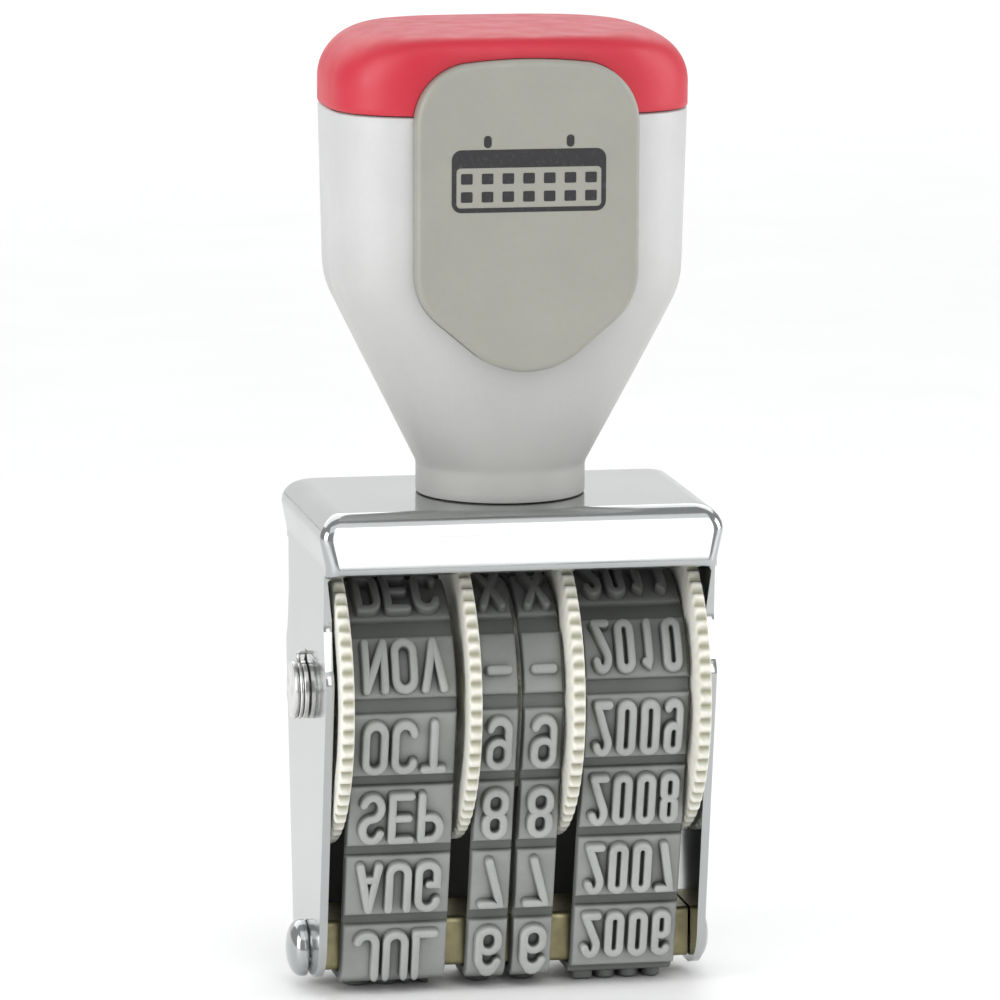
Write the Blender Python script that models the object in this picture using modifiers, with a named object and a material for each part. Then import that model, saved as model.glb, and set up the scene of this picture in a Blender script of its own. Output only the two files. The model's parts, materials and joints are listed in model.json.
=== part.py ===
"""Manual band date stamp: four thumb wheels turn four rubber bands inside a folded steel frame.

The part stands on its type. Its frame has its origin in the middle of the printing plane,
+X to the right as the user reads the wheels, +Y away from the user and +Z up the handle.
All sizes below are in millimetres; MM turns them into Blender's metres.
"""

from math import atan2, asin, cos, hypot, pi, radians, sin

import bmesh
import bpy
from mathutils import Matrix, Vector

MM = 0.001

# Folded frame
FRAME_WIDTH = 28.8
FRAME_DEPTH = 18.6
SHEET = 0.6
FRAME_TOP_Z = 36.5
APRON_BOTTOM_Z = 32.05
BEND_RADIUS = 1.8
WAIST_HALF_DEPTH = 7.9
WAIST_Z = 28.2
PLATE_HALF_DEPTH = 8.9
SHOULDER_Z = 24.0
SHOULDER_RADIUS = 1.4
PLATE_FOOT_HALF_DEPTH = 6.1
PLATE_FOOT_Z = 6.0
PLATE_BOTTOM_Z = 1.2
FOOT_RADIUS = 3.4
PLATE_DRAW_IN = 0.2

# Axle, wheels and bands
AXLE_Z = 22.15
AXLE_RADIUS = 1.1
WHEEL_BORE_RADIUS = 1.16
THUMB_DISC_RADIUS = 11.35
THUMB_DISC_WIDTH = 0.95
TOOTH_COUNT = 64
TOOTH_DEPTH = 0.4
DRUM_RADIUS = 7.65
SIDE_GAP = 0.2
DISC_GAP = 0.12
WIDE_BAND_GAP = 0.4
BAND_CENTRE_GAP = 0.3
DAY_BAND_WIDTH = 3.05
BAND_INNER_RADIUS = 7.75
BAND_BASE = 0.45
BLOCK_HEIGHT = 0.4
TYPE_HEIGHT = 0.7
LEGEND_COUNT = 12
ROWS_BEFORE_JOINT = 7
ROW_PITCH = 5.57
BLOCK_LENGTH = 4.9
TYPE_LENGTH = 4.0

# Platen bar that presses the type on the paper, and its rivets
PLATEN_FLAT_HALF = 2.7
PLATEN_CORNER_RADIUS = 0.7
PLATEN_HALF_DEPTH = 3.15
PLATEN_TOP_Z = 5.4
PLATEN_EDGE_RADIUS = 0.5
RIVET_Z = 2.75
RIVET_RADIUS = 0.8
RIVET_HEAD_RADIUS = 2.1
RIVET_HEAD_HEIGHT = 1.4
RIVET_RIM = 0.25
RIVET_DEPTH = 3.0

# Axle heads outside the side plates and the wire clips in their grooves
HEAD_RADIUS = 2.15
HEAD_LENGTH = 1.0
GROOVE_RADIUS = 1.85
GROOVE_WIDTH = 0.4
CLIP_WIRE_RADIUS = 0.16
CLIP_TAIL_RISE = 2.75
SLOT_WIDTH = 2.3
SLOT_TIP_RADIUS = 0.4
SLOT_TAPER = 1.0
SLOT_TOP_Z = 25.15

# Moulded handle
NECK_RADIUS = 6.2
NECK_TOP_Z = 38.8
CONE_TOP_Z = 52.2
SEAM_Z = 65.05
CAP_TOP_Z = 70.85
HANDLE_HALF_WIDTH = 13.2
HANDLE_HALF_DEPTH = 9.7
SHOULDER_TAPER = 0.4
SQUARENESS = 3.2
HANDLE_POINTS = 40
CAVITY_FLOOR_Z = 46.5
CAVITY_SHOULDER_Z = 53.0
CAVITY_HALF_WIDTH = 11.4
CAVITY_HALF_DEPTH = 7.0
PLUG_HALF_WIDTH = 10.95
PLUG_DEPTH = 3.0
CAP_HOLLOW_HALF_WIDTH = 9.9
CAP_HOLLOW_HALF_DEPTH = 5.6
CAP_ROOF = 1.8
SCREW_RADIUS = 1.3
SCREW_HEAD_RADIUS = 2.3
SCREW_HEAD_HEIGHT = 1.3
SCREW_LENGTH = 8.0
WASHER_RADIUS = 3.2
WASHER_THICKNESS = 0.45

# Shield-shaped plaques let into both faces of the handle
PLAQUE_HALF_WIDTH = 8.1
PLAQUE_TIP_Z = 46.75
PLAQUE_TIP_RADIUS = 5.2
PLAQUE_SHOULDER_Z = 52.4
PLAQUE_SHOULDER_RADIUS = 1.2
PLAQUE_CORNER_Z = 64.6
PLAQUE_CORNER_RADIUS = 4.4
PLAQUE_TOP_Z = 69.2
PLAQUE_FACE_Y = 10.2
PLAQUE_SEAT_Y = 8.5

# Clearances between solids that touch on the real part
TOUCH = 0.1
SNUG = 0.05

# How far a cutter reaches beyond the solid it cuts
REACH = 6.0

RIGHT_X = FRAME_WIDTH / 2
INNER_X = RIGHT_X - SHEET
BAND_THICKNESS = BAND_BASE + BLOCK_HEIGHT + TYPE_HEIGHT
PLATEN_CORNER_Z = BAND_THICKNESS + PLATEN_CORNER_RADIUS
ALONG_X = Matrix(((0, 0, 1), (1, 0, 0), (0, 1, 0)))
ALONG_Y = Matrix(((1, 0, 0), (0, 0, 1), (0, 1, 0)))


def reset_scene():
    for obj in list(bpy.data.objects):
        bpy.data.objects.remove(obj, do_unlink=True)


def new_collection(name):
    collection = bpy.data.collections.new(name)
    bpy.context.scene.collection.children.link(collection)
    return collection


def make_material(name, color, roughness, metallic=0.0):
    material = bpy.data.materials.new(name)
    material.use_nodes = True
    shader = material.node_tree.nodes["Principled BSDF"]
    shader.inputs["Base Color"].default_value = (*color, 1.0)
    shader.inputs["Roughness"].default_value = roughness
    shader.inputs["Metallic"].default_value = metallic
    material.diffuse_color = (*color, 1.0)
    return material


def link_mesh(name, mesh, collection, material=None):
    obj = bpy.data.objects.new(name, mesh)
    collection.objects.link(obj)
    if material:
        mesh.materials.append(material)
    return obj


def shade(obj, angle=30):
    obj.data.shade_smooth()
    obj.data.set_sharp_from_angle(angle=radians(angle))


def extrude_outline(name, outlines, low, high, turn, collection, material=None):
    """A flat outline, with any holes, extruded along X or Y between two planes.

    ALONG_X takes the outline as (y, z) and ALONG_Y takes it as (x, z).
    """
    curve = bpy.data.curves.new(name, "CURVE")
    curve.dimensions = "2D"
    curve.fill_mode = "BOTH"
    curve.extrude = abs(high - low) / 2 * MM
    for points in outlines:
        spline = curve.splines.new("POLY")
        spline.points.add(len(points) - 1)
        for point, (u, v) in zip(spline.points, points):
            point.co = (u * MM, v * MM, 0, 1)
        spline.use_cyclic_u = True
    guide = bpy.data.objects.new(name + "_outline", curve)
    collection.objects.link(guide)
    bpy.context.view_layer.update()
    graph = bpy.context.evaluated_depsgraph_get()
    mesh = bpy.data.meshes.new_from_object(guide.evaluated_get(graph))
    bpy.data.objects.remove(guide, do_unlink=True)
    mesh.transform(Matrix.Translation((0, 0, (low + high) / 2 * MM)))
    mesh.transform(turn.to_4x4())
    weld(mesh)
    mesh.name = name
    return link_mesh(name, mesh, collection, material)


def weld(mesh):
    shape = bmesh.new()
    shape.from_mesh(mesh)
    bmesh.ops.remove_doubles(shape, verts=shape.verts, dist=0.001 * MM)
    bmesh.ops.recalc_face_normals(shape, faces=shape.faces)
    shape.to_mesh(mesh)
    shape.free()


def arc(centre_u, centre_v, radius, start, end, steps):
    """Points on an arc, both ends included, with its angles in degrees."""
    points = []
    for step in range(steps + 1):
        angle = radians(start + (end - start) * step / steps)
        points.append((centre_u + radius * cos(angle), centre_v + radius * sin(angle)))
    return points


def turned(name, profile, centre_z, sides, collection, material=None):
    """A profile of (radius, x) pairs, listed from +X to -X, turned about the X axis at centre_z."""
    mesh = bpy.data.meshes.new(name)
    shape = bmesh.new()
    ends = [shape.verts.new((radius * MM, 0, x * MM)) for radius, x in profile]
    for first, second in zip(ends, ends[1:]):
        shape.edges.new((first, second))
    shape.to_mesh(mesh)
    shape.free()
    obj = link_mesh(name, mesh, collection, material)
    screw = obj.modifiers.new("Turn", "SCREW")
    screw.axis = "Z"
    screw.steps = sides
    screw.render_steps = sides
    screw.use_merge_vertices = True
    screw.merge_threshold = 0.001 * MM
    obj.rotation_euler = (0, radians(90), 0)
    obj.location = (0, 0, centre_z * MM)
    return obj


def cut(obj, cutter, operation="DIFFERENCE"):
    cutter.hide_render = True
    cutter.display_type = "WIRE"
    boolean = obj.modifiers.new(operation.title() + "_" + cutter.name, "BOOLEAN")
    boolean.operation = operation
    boolean.solver = "EXACT"
    boolean.object = cutter


def superellipse(half_width, half_depth, power, count):
    """Points of a rounded rectangle, which is an ellipse when the power is 2."""
    points = []
    for step in range(count):
        angle = 2 * pi * step / count
        across, along = cos(angle), sin(angle)
        x = half_width * abs(across) ** (2 / power) * (1 if across >= 0 else -1)
        y = half_depth * abs(along) ** (2 / power) * (1 if along >= 0 else -1)
        points.append((x, y))
    return points


def loft(name, sections, collection, material=None):
    """A closed solid through rounded sections (z, half width, half depth, power), going up."""
    mesh = bpy.data.meshes.new(name)
    shape = bmesh.new()
    rings = []
    for z, half_width, half_depth, power in sections:
        points = superellipse(half_width, half_depth, power, HANDLE_POINTS)
        rings.append([shape.verts.new((x * MM, y * MM, z * MM)) for x, y in points])
    for lower, upper in zip(rings, rings[1:]):
        for index in range(HANDLE_POINTS):
            after = (index + 1) % HANDLE_POINTS
            shape.faces.new((lower[index], lower[after], upper[after], upper[index]))
    shape.faces.new(reversed(rings[0]))
    shape.faces.new(rings[-1])
    shape.to_mesh(mesh)
    shape.free()
    return link_mesh(name, mesh, collection, material)


def x_cylinder(name, radius, low, high, y, z, sides, collection, material=None):
    bpy.ops.mesh.primitive_cylinder_add(
        vertices=sides,
        radius=radius * MM,
        depth=(high - low) * MM,
        location=((low + high) / 2 * MM, y * MM, z * MM),
        rotation=(0, radians(90), 0),
    )
    return take_active(name, collection, material)


def z_cylinder(name, radius, low, high, sides, collection, material=None):
    bpy.ops.mesh.primitive_cylinder_add(
        vertices=sides,
        radius=radius * MM,
        depth=(high - low) * MM,
        location=(0, 0, (low + high) / 2 * MM),
    )
    return take_active(name, collection, material)


def take_active(name, collection, material):
    obj = bpy.context.active_object
    obj.name = name
    obj.data.name = name
    for holder in list(obj.users_collection):
        holder.objects.unlink(obj)
    collection.objects.link(obj)
    if material:
        obj.data.materials.append(material)
    return obj


# ---------------------------------------------------------------- handle


def handle_section(z):
    """Height, half width, half depth and squareness of the moulded handle at a height."""
    rise = min(max((z - NECK_TOP_Z) / (CONE_TOP_Z - NECK_TOP_Z), 0.0), 1.0)
    depth_rise = sin(rise * pi / 2)
    above = max(z - CONE_TOP_Z, 0.0) / (SEAM_Z - CONE_TOP_Z)
    shoulder_width = HANDLE_HALF_WIDTH - SHOULDER_TAPER
    half_width = NECK_RADIUS + (shoulder_width - NECK_RADIUS) * rise + SHOULDER_TAPER * above
    half_depth = NECK_RADIUS + (HANDLE_HALF_DEPTH - NECK_RADIUS) * depth_rise
    power = 2.0 + (SQUARENESS - 2.0) * rise
    return z, half_width, half_depth, power


def eased_section(z, ease):
    """A section a little narrower than the straight cone, which rounds the shoulder."""
    _, half_width, half_depth, power = handle_section(z)
    return z, half_width - ease, half_depth, power


def make_handle_body(parts, cutters, pockets, material):
    heights = [FRAME_TOP_Z + SNUG, NECK_TOP_Z]
    heights += [NECK_TOP_Z + (CONE_TOP_Z - NECK_TOP_Z) * step / 5 for step in range(1, 5)]
    sections = [handle_section(z) for z in heights]
    sections.append(eased_section(CONE_TOP_Z - 1.6, 0.1))
    sections.append(eased_section(CONE_TOP_Z, 0.45))
    sections += [handle_section(CONE_TOP_Z + 2.2), handle_section(SEAM_Z - SNUG)]
    body = loft("handle_body", sections, parts, material)
    cavity = loft(
        "handle_cavity_cutter",
        [
            (CAVITY_FLOOR_Z, 4.6, 4.4, 2.2),
            (CAVITY_SHOULDER_Z, CAVITY_HALF_WIDTH - 0.8, CAVITY_HALF_DEPTH, 3.0),
            (SEAM_Z + 1, CAVITY_HALF_WIDTH, CAVITY_HALF_DEPTH, SQUARENESS),
        ],
        cutters,
    )
    pilot_top = CAVITY_FLOOR_Z + 1
    pilot = z_cylinder("screw_pilot_cutter", SCREW_RADIUS + SNUG, FRAME_TOP_Z - 1, pilot_top, 24, cutters)
    cut(body, cavity)
    cut(body, pilot)
    for pocket in pockets:
        cut(body, pocket)
    shade(body)
    return body


def make_handle_cap(parts, cutters, pockets, material):
    """The cap, whose plug fits in the handle; its rounded top is given as steps down from the top."""
    plug = (PLUG_HALF_WIDTH, CAVITY_HALF_DEPTH - 0.2, 3.0)
    low = SEAM_Z + SNUG
    sections = [(SEAM_Z - PLUG_DEPTH, *plug), (low, *plug)]
    sections.append((low, HANDLE_HALF_WIDTH, HANDLE_HALF_DEPTH, SQUARENESS))
    for drop, narrower, shallower in (
        (3.3, 0.0, 0.0),
        (2.1, 0.6, 0.1),
        (1.4, 1.2, 0.35),
        (0.75, 2.1, 0.8),
        (0.0, 4.2, 1.9),
    ):
        half_width, half_depth = HANDLE_HALF_WIDTH - narrower, HANDLE_HALF_DEPTH - shallower
        sections.append((CAP_TOP_Z - drop, half_width, half_depth, SQUARENESS - narrower * 0.05))
    cap = loft("handle_cap", sections, parts, material)
    hollow_section = (CAP_HOLLOW_HALF_WIDTH, CAP_HOLLOW_HALF_DEPTH, SQUARENESS)
    hollow_ends = (SEAM_Z - PLUG_DEPTH - 1, CAP_TOP_Z - CAP_ROOF)
    hollow = loft("cap_hollow_cutter", [(z, *hollow_section) for z in hollow_ends], cutters)
    cut(cap, hollow)
    for pocket in pockets:
        cut(cap, pocket)
    shade(cap)
    return cap


def shield_outline(margin=0.0):
    """The plaque's outline in X and Z, grown by a margin, going anticlockwise."""
    half = PLAQUE_HALF_WIDTH + margin
    tip_centre_z = PLAQUE_TIP_Z + PLAQUE_TIP_RADIUS
    shoulder, corner = PLAQUE_SHOULDER_RADIUS, PLAQUE_CORNER_RADIUS
    points = arc(0, tip_centre_z, PLAQUE_TIP_RADIUS + margin, -90, -48, 4)
    points += arc(half - shoulder, PLAQUE_SHOULDER_Z, shoulder, -45, 0, 2)
    points += arc(half - corner, PLAQUE_CORNER_Z, corner, 0, 75, 5)
    points += [(0, PLAQUE_TOP_Z + margin)]
    mirrored = [(-u, v) for u, v in reversed(points[1:-1])]
    return points + mirrored


def make_plaque(name, side, parts, material):
    """A plaque on the front (side -1) or the rear (side +1)."""
    ends = sorted((side * (PLAQUE_SEAT_Y + SNUG), side * PLAQUE_FACE_Y))
    plaque = extrude_outline(name, [shield_outline()], *ends, ALONG_Y, parts, material)
    shade(plaque)
    return plaque


def make_pocket(name, side, cutters):
    ends = sorted((side * PLAQUE_SEAT_Y, side * (PLAQUE_FACE_Y + 3)))
    return extrude_outline(name, [shield_outline(TOUCH)], *ends, ALONG_Y, cutters)


def make_handle_screw(parts, material):
    washer_bottom = FRAME_TOP_Z - SHEET - TOUCH - WASHER_THICKNESS
    head_top = washer_bottom - SNUG
    profile = [
        (0, head_top + SCREW_LENGTH),
        (SCREW_RADIUS - 0.5, head_top + SCREW_LENGTH),
        (SCREW_RADIUS - 0.1, head_top + SCREW_LENGTH - 1.0),
        (SCREW_RADIUS - 0.1, head_top),
        (SCREW_HEAD_RADIUS, head_top),
        (SCREW_HEAD_RADIUS, head_top - SCREW_HEAD_HEIGHT * 0.5),
        (SCREW_HEAD_RADIUS * 0.6, head_top - SCREW_HEAD_HEIGHT),
        (0, head_top - SCREW_HEAD_HEIGHT),
    ]
    screw = turned("handle_screw", profile, 0, 24, parts, material)
    screw.rotation_euler = (0, 0, 0)
    shade(screw)
    return screw


def make_screw_washer(parts, cutters, material):
    top = FRAME_TOP_Z - SHEET - TOUCH
    washer = z_cylinder("screw_washer", WASHER_RADIUS, top - WASHER_THICKNESS, top, 32, parts, material)
    hole = z_cylinder("washer_hole_cutter", SCREW_RADIUS + SNUG, top - 2, top + 2, 24, cutters)
    cut(washer, hole)
    shade(washer)
    return washer


# ---------------------------------------------------------------- frame


def plate_outline():
    """Side view of the frame: the folded top with its aprons, and the waisted side plate below."""
    half_top = FRAME_DEPTH / 2
    foot_centre = (PLATE_FOOT_HALF_DEPTH - FOOT_RADIUS - PLATE_DRAW_IN, PLATE_BOTTOM_Z + FOOT_RADIUS)
    half = [(WAIST_HALF_DEPTH, APRON_BOTTOM_Z), (WAIST_HALF_DEPTH - PLATE_DRAW_IN, WAIST_Z)]
    half += arc(PLATE_HALF_DEPTH - SHOULDER_RADIUS, SHOULDER_Z, SHOULDER_RADIUS, 52, -8, 3)
    half += [(PLATE_FOOT_HALF_DEPTH, PLATE_FOOT_Z)]
    half += arc(*foot_centre, FOOT_RADIUS, -8, -90, 4)
    top = [(half_top, APRON_BOTTOM_Z)]
    top_arc = arc(half_top - BEND_RADIUS, FRAME_TOP_Z - BEND_RADIUS, BEND_RADIUS, 90, 0, 4)
    right = top_arc + top + half
    return right + [(-y, z) for y, z in reversed(right)]


def arch(half, top, radius, bottom):
    """An arch-shaped outline: a flat top with rounded corners over straight sides."""
    right = [(half, bottom)] + arc(half - radius, top - radius, radius, 0, 90, 4)
    return right + [(-u, v) for u, v in reversed(right)]


def make_frame(parts, cutters, material):
    frame = extrude_outline("frame", [plate_outline()], -RIGHT_X, RIGHT_X, ALONG_X, parts, material)
    across = (-RIGHT_X - REACH, RIGHT_X + REACH)
    along = (-FRAME_DEPTH / 2 - REACH, FRAME_DEPTH / 2 + REACH)
    bends = extrude_outline(
        "side_bend_cutter",
        [arch(RIGHT_X, FRAME_TOP_Z, BEND_RADIUS, -REACH)],
        *along,
        ALONG_Y,
        cutters,
    )
    inner_bend = BEND_RADIUS - SHEET
    inner_half = FRAME_DEPTH / 2 - SHEET
    lid_side = arch(inner_half, FRAME_TOP_Z - SHEET, inner_bend, APRON_BOTTOM_Z)
    step_z = APRON_BOTTOM_Z - 0.001
    open_below = [(along[0], step_z), (along[0], -REACH), (along[1], -REACH), (along[1], step_z)]
    hollow = extrude_outline("frame_hollow_cutter", [lid_side + open_below], *across, ALONG_X, cutters)
    hollow_bends = extrude_outline(
        "hollow_bend_cutter",
        [arch(INNER_X, FRAME_TOP_Z - SHEET, inner_bend, -2 * REACH)],
        along[0] - REACH,
        along[1] + REACH,
        ALONG_Y,
        cutters,
    )
    cut(hollow, hollow_bends, "INTERSECT")
    slots = extrude_outline("axle_slot_cutter", [slot_outline()], *across, ALONG_X, cutters)
    rivet_hole = x_cylinder(
        "rivet_hole_cutter", RIVET_RADIUS + SNUG, *across, 0, RIVET_Z, 24, cutters
    )
    hole_low, hole_high = APRON_BOTTOM_Z, FRAME_TOP_Z + 2
    screw_hole = z_cylinder("screw_hole_cutter", SCREW_RADIUS + TOUCH, hole_low, hole_high, 24, cutters)
    cut(frame, bends, "INTERSECT")
    for cutter in (hollow, slots, rivet_hole, screw_hole):
        cut(frame, cutter)
    shade(frame)
    return frame


def slot_outline():
    """The axle's slot: round at the bottom and drawn to a narrow tip at the top."""
    half = SLOT_WIDTH / 2
    taper_z = SLOT_TOP_Z - SLOT_TIP_RADIUS - SLOT_TAPER
    outline = arc(0, AXLE_Z, half, 180, 360, 8) + [(half, taper_z)]
    outline += arc(0, SLOT_TOP_Z - SLOT_TIP_RADIUS, SLOT_TIP_RADIUS, 0, 180, 4)
    return outline + [(-half, taper_z)]


# ---------------------------------------------------------------- axle


def make_axle(parts, material):
    """The shaft with the grooved head at its left end, turned about X."""
    head_face = -RIGHT_X - TOUCH
    groove_middle = head_face - HEAD_LENGTH / 2
    shaft_end = RIGHT_X + TOUCH + HEAD_LENGTH * 0.7
    profile = [
        (0, shaft_end),
        (AXLE_RADIUS, shaft_end),
        (AXLE_RADIUS, head_face),
        (HEAD_RADIUS, head_face),
        (HEAD_RADIUS, groove_middle + GROOVE_WIDTH / 2),
        (GROOVE_RADIUS, groove_middle + GROOVE_WIDTH / 2),
        (GROOVE_RADIUS, groove_middle - GROOVE_WIDTH / 2),
        (HEAD_RADIUS, groove_middle - GROOVE_WIDTH / 2),
        (HEAD_RADIUS, head_face - HEAD_LENGTH),
        (0, head_face - HEAD_LENGTH),
    ]
    axle = turned("wheel_axle", profile, AXLE_Z, 32, parts, material)
    shade(axle)
    return axle


def make_axle_end_cap(parts, material):
    """The grooved ring pressed on the shaft's right end, outside the plate."""
    inner = RIGHT_X + TOUCH
    outer = inner + HEAD_LENGTH
    middle = inner + HEAD_LENGTH / 2
    bore = AXLE_RADIUS + SNUG
    blind = inner + HEAD_LENGTH * 0.7 + SNUG
    profile = [
        (0, outer),
        (HEAD_RADIUS, outer),
        (HEAD_RADIUS, middle + GROOVE_WIDTH / 2),
        (GROOVE_RADIUS, middle + GROOVE_WIDTH / 2),
        (GROOVE_RADIUS, middle - GROOVE_WIDTH / 2),
        (HEAD_RADIUS, middle - GROOVE_WIDTH / 2),
        (HEAD_RADIUS, inner),
        (bore, inner),
        (bore, blind),
        (0, blind),
    ]
    cap = turned("axle_end_cap", profile, AXLE_Z, 32, parts, material)
    shade(cap)
    return cap


def make_axle_clip(name, side, parts, material):
    """A wire round the head's groove, whose tail is bent into the slot above the axle."""
    groove_x = side * (RIGHT_X + TOUCH + HEAD_LENGTH / 2)
    radius = GROOVE_RADIUS + CLIP_WIRE_RADIUS + SNUG
    tail_x = side * (RIGHT_X - SHEET * 0.6)
    points = [
        (tail_x, 0.0, AXLE_Z + CLIP_TAIL_RISE),
        (groove_x - side * 0.25, 0.0, AXLE_Z + CLIP_TAIL_RISE - 0.1),
        (groove_x, 0.0, AXLE_Z + radius + 0.55),
    ] + clip_loop(groove_x, radius)
    curve = bpy.data.curves.new(name, "CURVE")
    curve.dimensions = "3D"
    curve.bevel_depth = CLIP_WIRE_RADIUS * MM
    curve.bevel_resolution = 1
    curve.use_fill_caps = True
    spline = curve.splines.new("POLY")
    spline.points.add(len(points) - 1)
    for point, (x, y, z) in zip(spline.points, points):
        point.co = (x * MM, y * MM, z * MM, 1)
    clip = bpy.data.objects.new(name, curve)
    parts.objects.link(clip)
    curve.materials.append(material)
    return clip


def clip_loop(groove_x, radius):
    """Points round the groove, starting beside the top and ending short of it."""
    loop = []
    for step in range(15):
        angle = radians(102 + 18 * step)
        loop.append((groove_x, radius * cos(angle), AXLE_Z + radius * sin(angle)))
    return loop


# ---------------------------------------------------------------- wheels and bands


def band_layout():
    """Each wheel's thumb disc and its band, as (name, disc low x, band low x, band high x)."""
    half_gap = BAND_CENTRE_GAP / 2
    day_outer = half_gap + DAY_BAND_WIDTH
    inner_disc = day_outer + DISC_GAP
    outer_disc = INNER_X - SIDE_GAP - THUMB_DISC_WIDTH
    wide_low = inner_disc + THUMB_DISC_WIDTH + WIDE_BAND_GAP
    wide_high = outer_disc - DISC_GAP
    return (
        ("month", -outer_disc - THUMB_DISC_WIDTH, -wide_high, -wide_low),
        ("day_tens", -inner_disc - THUMB_DISC_WIDTH, -day_outer, -half_gap),
        ("day_units", inner_disc, half_gap, day_outer),
        ("year", outer_disc, wide_low, wide_high),
    )


def tooth_outline():
    """A saw-edged circle: a crest and a root for each tooth."""
    points = []
    for tooth in range(2 * TOOTH_COUNT):
        radius = THUMB_DISC_RADIUS - TOOTH_DEPTH * (tooth % 2)
        angle = pi * tooth / TOOTH_COUNT
        points.append((radius * cos(angle), radius * sin(angle)))
    return points


def make_wheel(name, disc_low, band_low, band_high, parts, cutters, material):
    """A drum that carries the band, moulded in one piece with a serrated thumb disc."""
    disc_high = disc_low + THUMB_DISC_WIDTH
    wheel = extrude_outline(
        name, [tooth_outline()], disc_low, disc_high, ALONG_X, parts, material
    )
    overlap = THUMB_DISC_WIDTH / 2
    if disc_low < band_low:
        low, high = disc_low + overlap, band_high
    else:
        low, high = band_low, disc_high - overlap
    drum = x_cylinder(name + "_drum_cutter", DRUM_RADIUS, low, high, 0, 0, 40, cutters)
    bore = x_cylinder(name + "_bore_cutter", WHEEL_BORE_RADIUS, -RIGHT_X, RIGHT_X, 0, 0, 32, cutters)
    cut(wheel, drum, "UNION")
    cut(wheel, bore)
    for helper in (wheel, drum, bore):
        helper.location.z += AXLE_Z * MM
    shade(wheel)
    return wheel


class BandPath:
    """The closed route of a band in the YZ plane, measured along the middle of its base.

    It starts at the middle of the platen's flat and goes forward (-Y), up the front, over the
    drum and down the back. A point is given by its distance along the route and its offset
    outward from the band's inner face.
    """

    def __init__(self):
        rise = AXLE_Z - PLATEN_CORNER_Z
        span = hypot(rise, PLATEN_FLAT_HALF)
        difference = BAND_INNER_RADIUS - PLATEN_CORNER_RADIUS
        self.taper = asin(difference / span) - atan2(PLATEN_FLAT_HALF, rise)
        middle = BAND_BASE / 2
        self.straight = (span**2 - difference**2) ** 0.5
        self.corner = (pi / 2 - self.taper) * (PLATEN_CORNER_RADIUS + middle)
        self.wrap = (pi + 2 * self.taper) * (BAND_INNER_RADIUS + middle)
        self.half = PLATEN_FLAT_HALF + self.corner + self.straight + self.wrap / 2
        self.length = 2 * self.half

    def point(self, distance, offset):
        distance %= self.length
        if distance > self.half:
            y, z = self.point(self.length - distance, offset)
            return -y, z
        if distance <= PLATEN_FLAT_HALF:
            return -distance, BAND_THICKNESS - offset
        distance -= PLATEN_FLAT_HALF
        if distance <= self.corner:
            angle = distance / self.corner * (pi / 2 - self.taper)
            radius = PLATEN_CORNER_RADIUS + offset
            return -PLATEN_FLAT_HALF - radius * sin(angle), PLATEN_CORNER_Z - radius * cos(angle)
        distance -= self.corner
        if distance <= self.straight:
            radius = PLATEN_CORNER_RADIUS + offset
            y = -PLATEN_FLAT_HALF - radius * cos(self.taper) - distance * sin(self.taper)
            z = PLATEN_CORNER_Z - radius * sin(self.taper) + distance * cos(self.taper)
            return y, z
        distance -= self.straight
        angle = -self.taper + distance / (BAND_INNER_RADIUS + BAND_BASE / 2)
        radius = BAND_INNER_RADIUS + offset
        return -radius * cos(angle), AXLE_Z + radius * sin(angle)

    def breaks(self):
        """Distances at which the route changes between flat, corner, straight and drum."""
        first = PLATEN_FLAT_HALF
        second = first + self.corner
        third = second + self.straight
        return first, second, third, self.length - third, self.length - second, self.length - first


def stations(path, low, high, step):
    """Distances from low to high close enough for the curve, with the route's breaks included."""
    count = max(1, round((high - low) / step))
    found = [low + (high - low) * index / count for index in range(count + 1)]
    for turn in range(-1, 2):
        for at in path.breaks():
            at += turn * path.length
            if low + 0.05 < at < high - 0.05 and min(abs(at - value) for value in found) > 0.2:
                found.append(at)
    return sorted(found)


def row_centres(path):
    """Middles of the printing blocks along the route; a longer gap before row 8 is the joint."""
    joint = path.length - LEGEND_COUNT * ROW_PITCH
    return [row * ROW_PITCH + (joint if row >= ROWS_BEFORE_JOINT else 0) for row in range(LEGEND_COUNT)]


def band_outlines(path):
    """The band's outer face with its blocks and type faces, and its smooth inner face."""
    joint = path.length - LEGEND_COUNT * ROW_PITCH
    blank_length = joint - (ROW_PITCH - BLOCK_LENGTH)
    blank_centre = (ROWS_BEFORE_JOINT - 0.5) * ROW_PITCH + joint / 2
    blocks = [(centre, BLOCK_LENGTH, True) for centre in row_centres(path)]
    blocks.append((blank_centre, blank_length, False))
    outer = []
    top = BAND_BASE + BLOCK_HEIGHT
    for centre, length, has_type in sorted(blocks):
        low, high = centre - length / 2, centre + length / 2
        outer += [path.point(low, BAND_BASE), path.point(low, top)]
        if has_type:
            type_low, type_high = centre - TYPE_LENGTH / 2, centre + TYPE_LENGTH / 2
            outer.append(path.point(type_low, top))
            outer += [path.point(at, BAND_THICKNESS) for at in stations(path, type_low, type_high, 2.1)]
            outer.append(path.point(type_high, top))
        else:
            outer += [path.point(at, top) for at in stations(path, low, high, 2.1)[1:-1]]
        outer += [path.point(high, top), path.point(high, BAND_BASE)]
    inner = []
    for at in stations(path, 0, path.length, 1.7)[:-1]:
        y, z = path.point(at, 0)
        on_a_straight = PLATEN_CORNER_Z + 1 < z < AXLE_Z - 4
        if not on_a_straight:
            inner.append((y, z))
    return outer, inner


def make_band(name, low, high, outlines, parts, material):
    band = extrude_outline(name, outlines, low, high, ALONG_X, parts, material)
    shade(band)
    return band


# ---------------------------------------------------------------- platen and rivets


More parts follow.
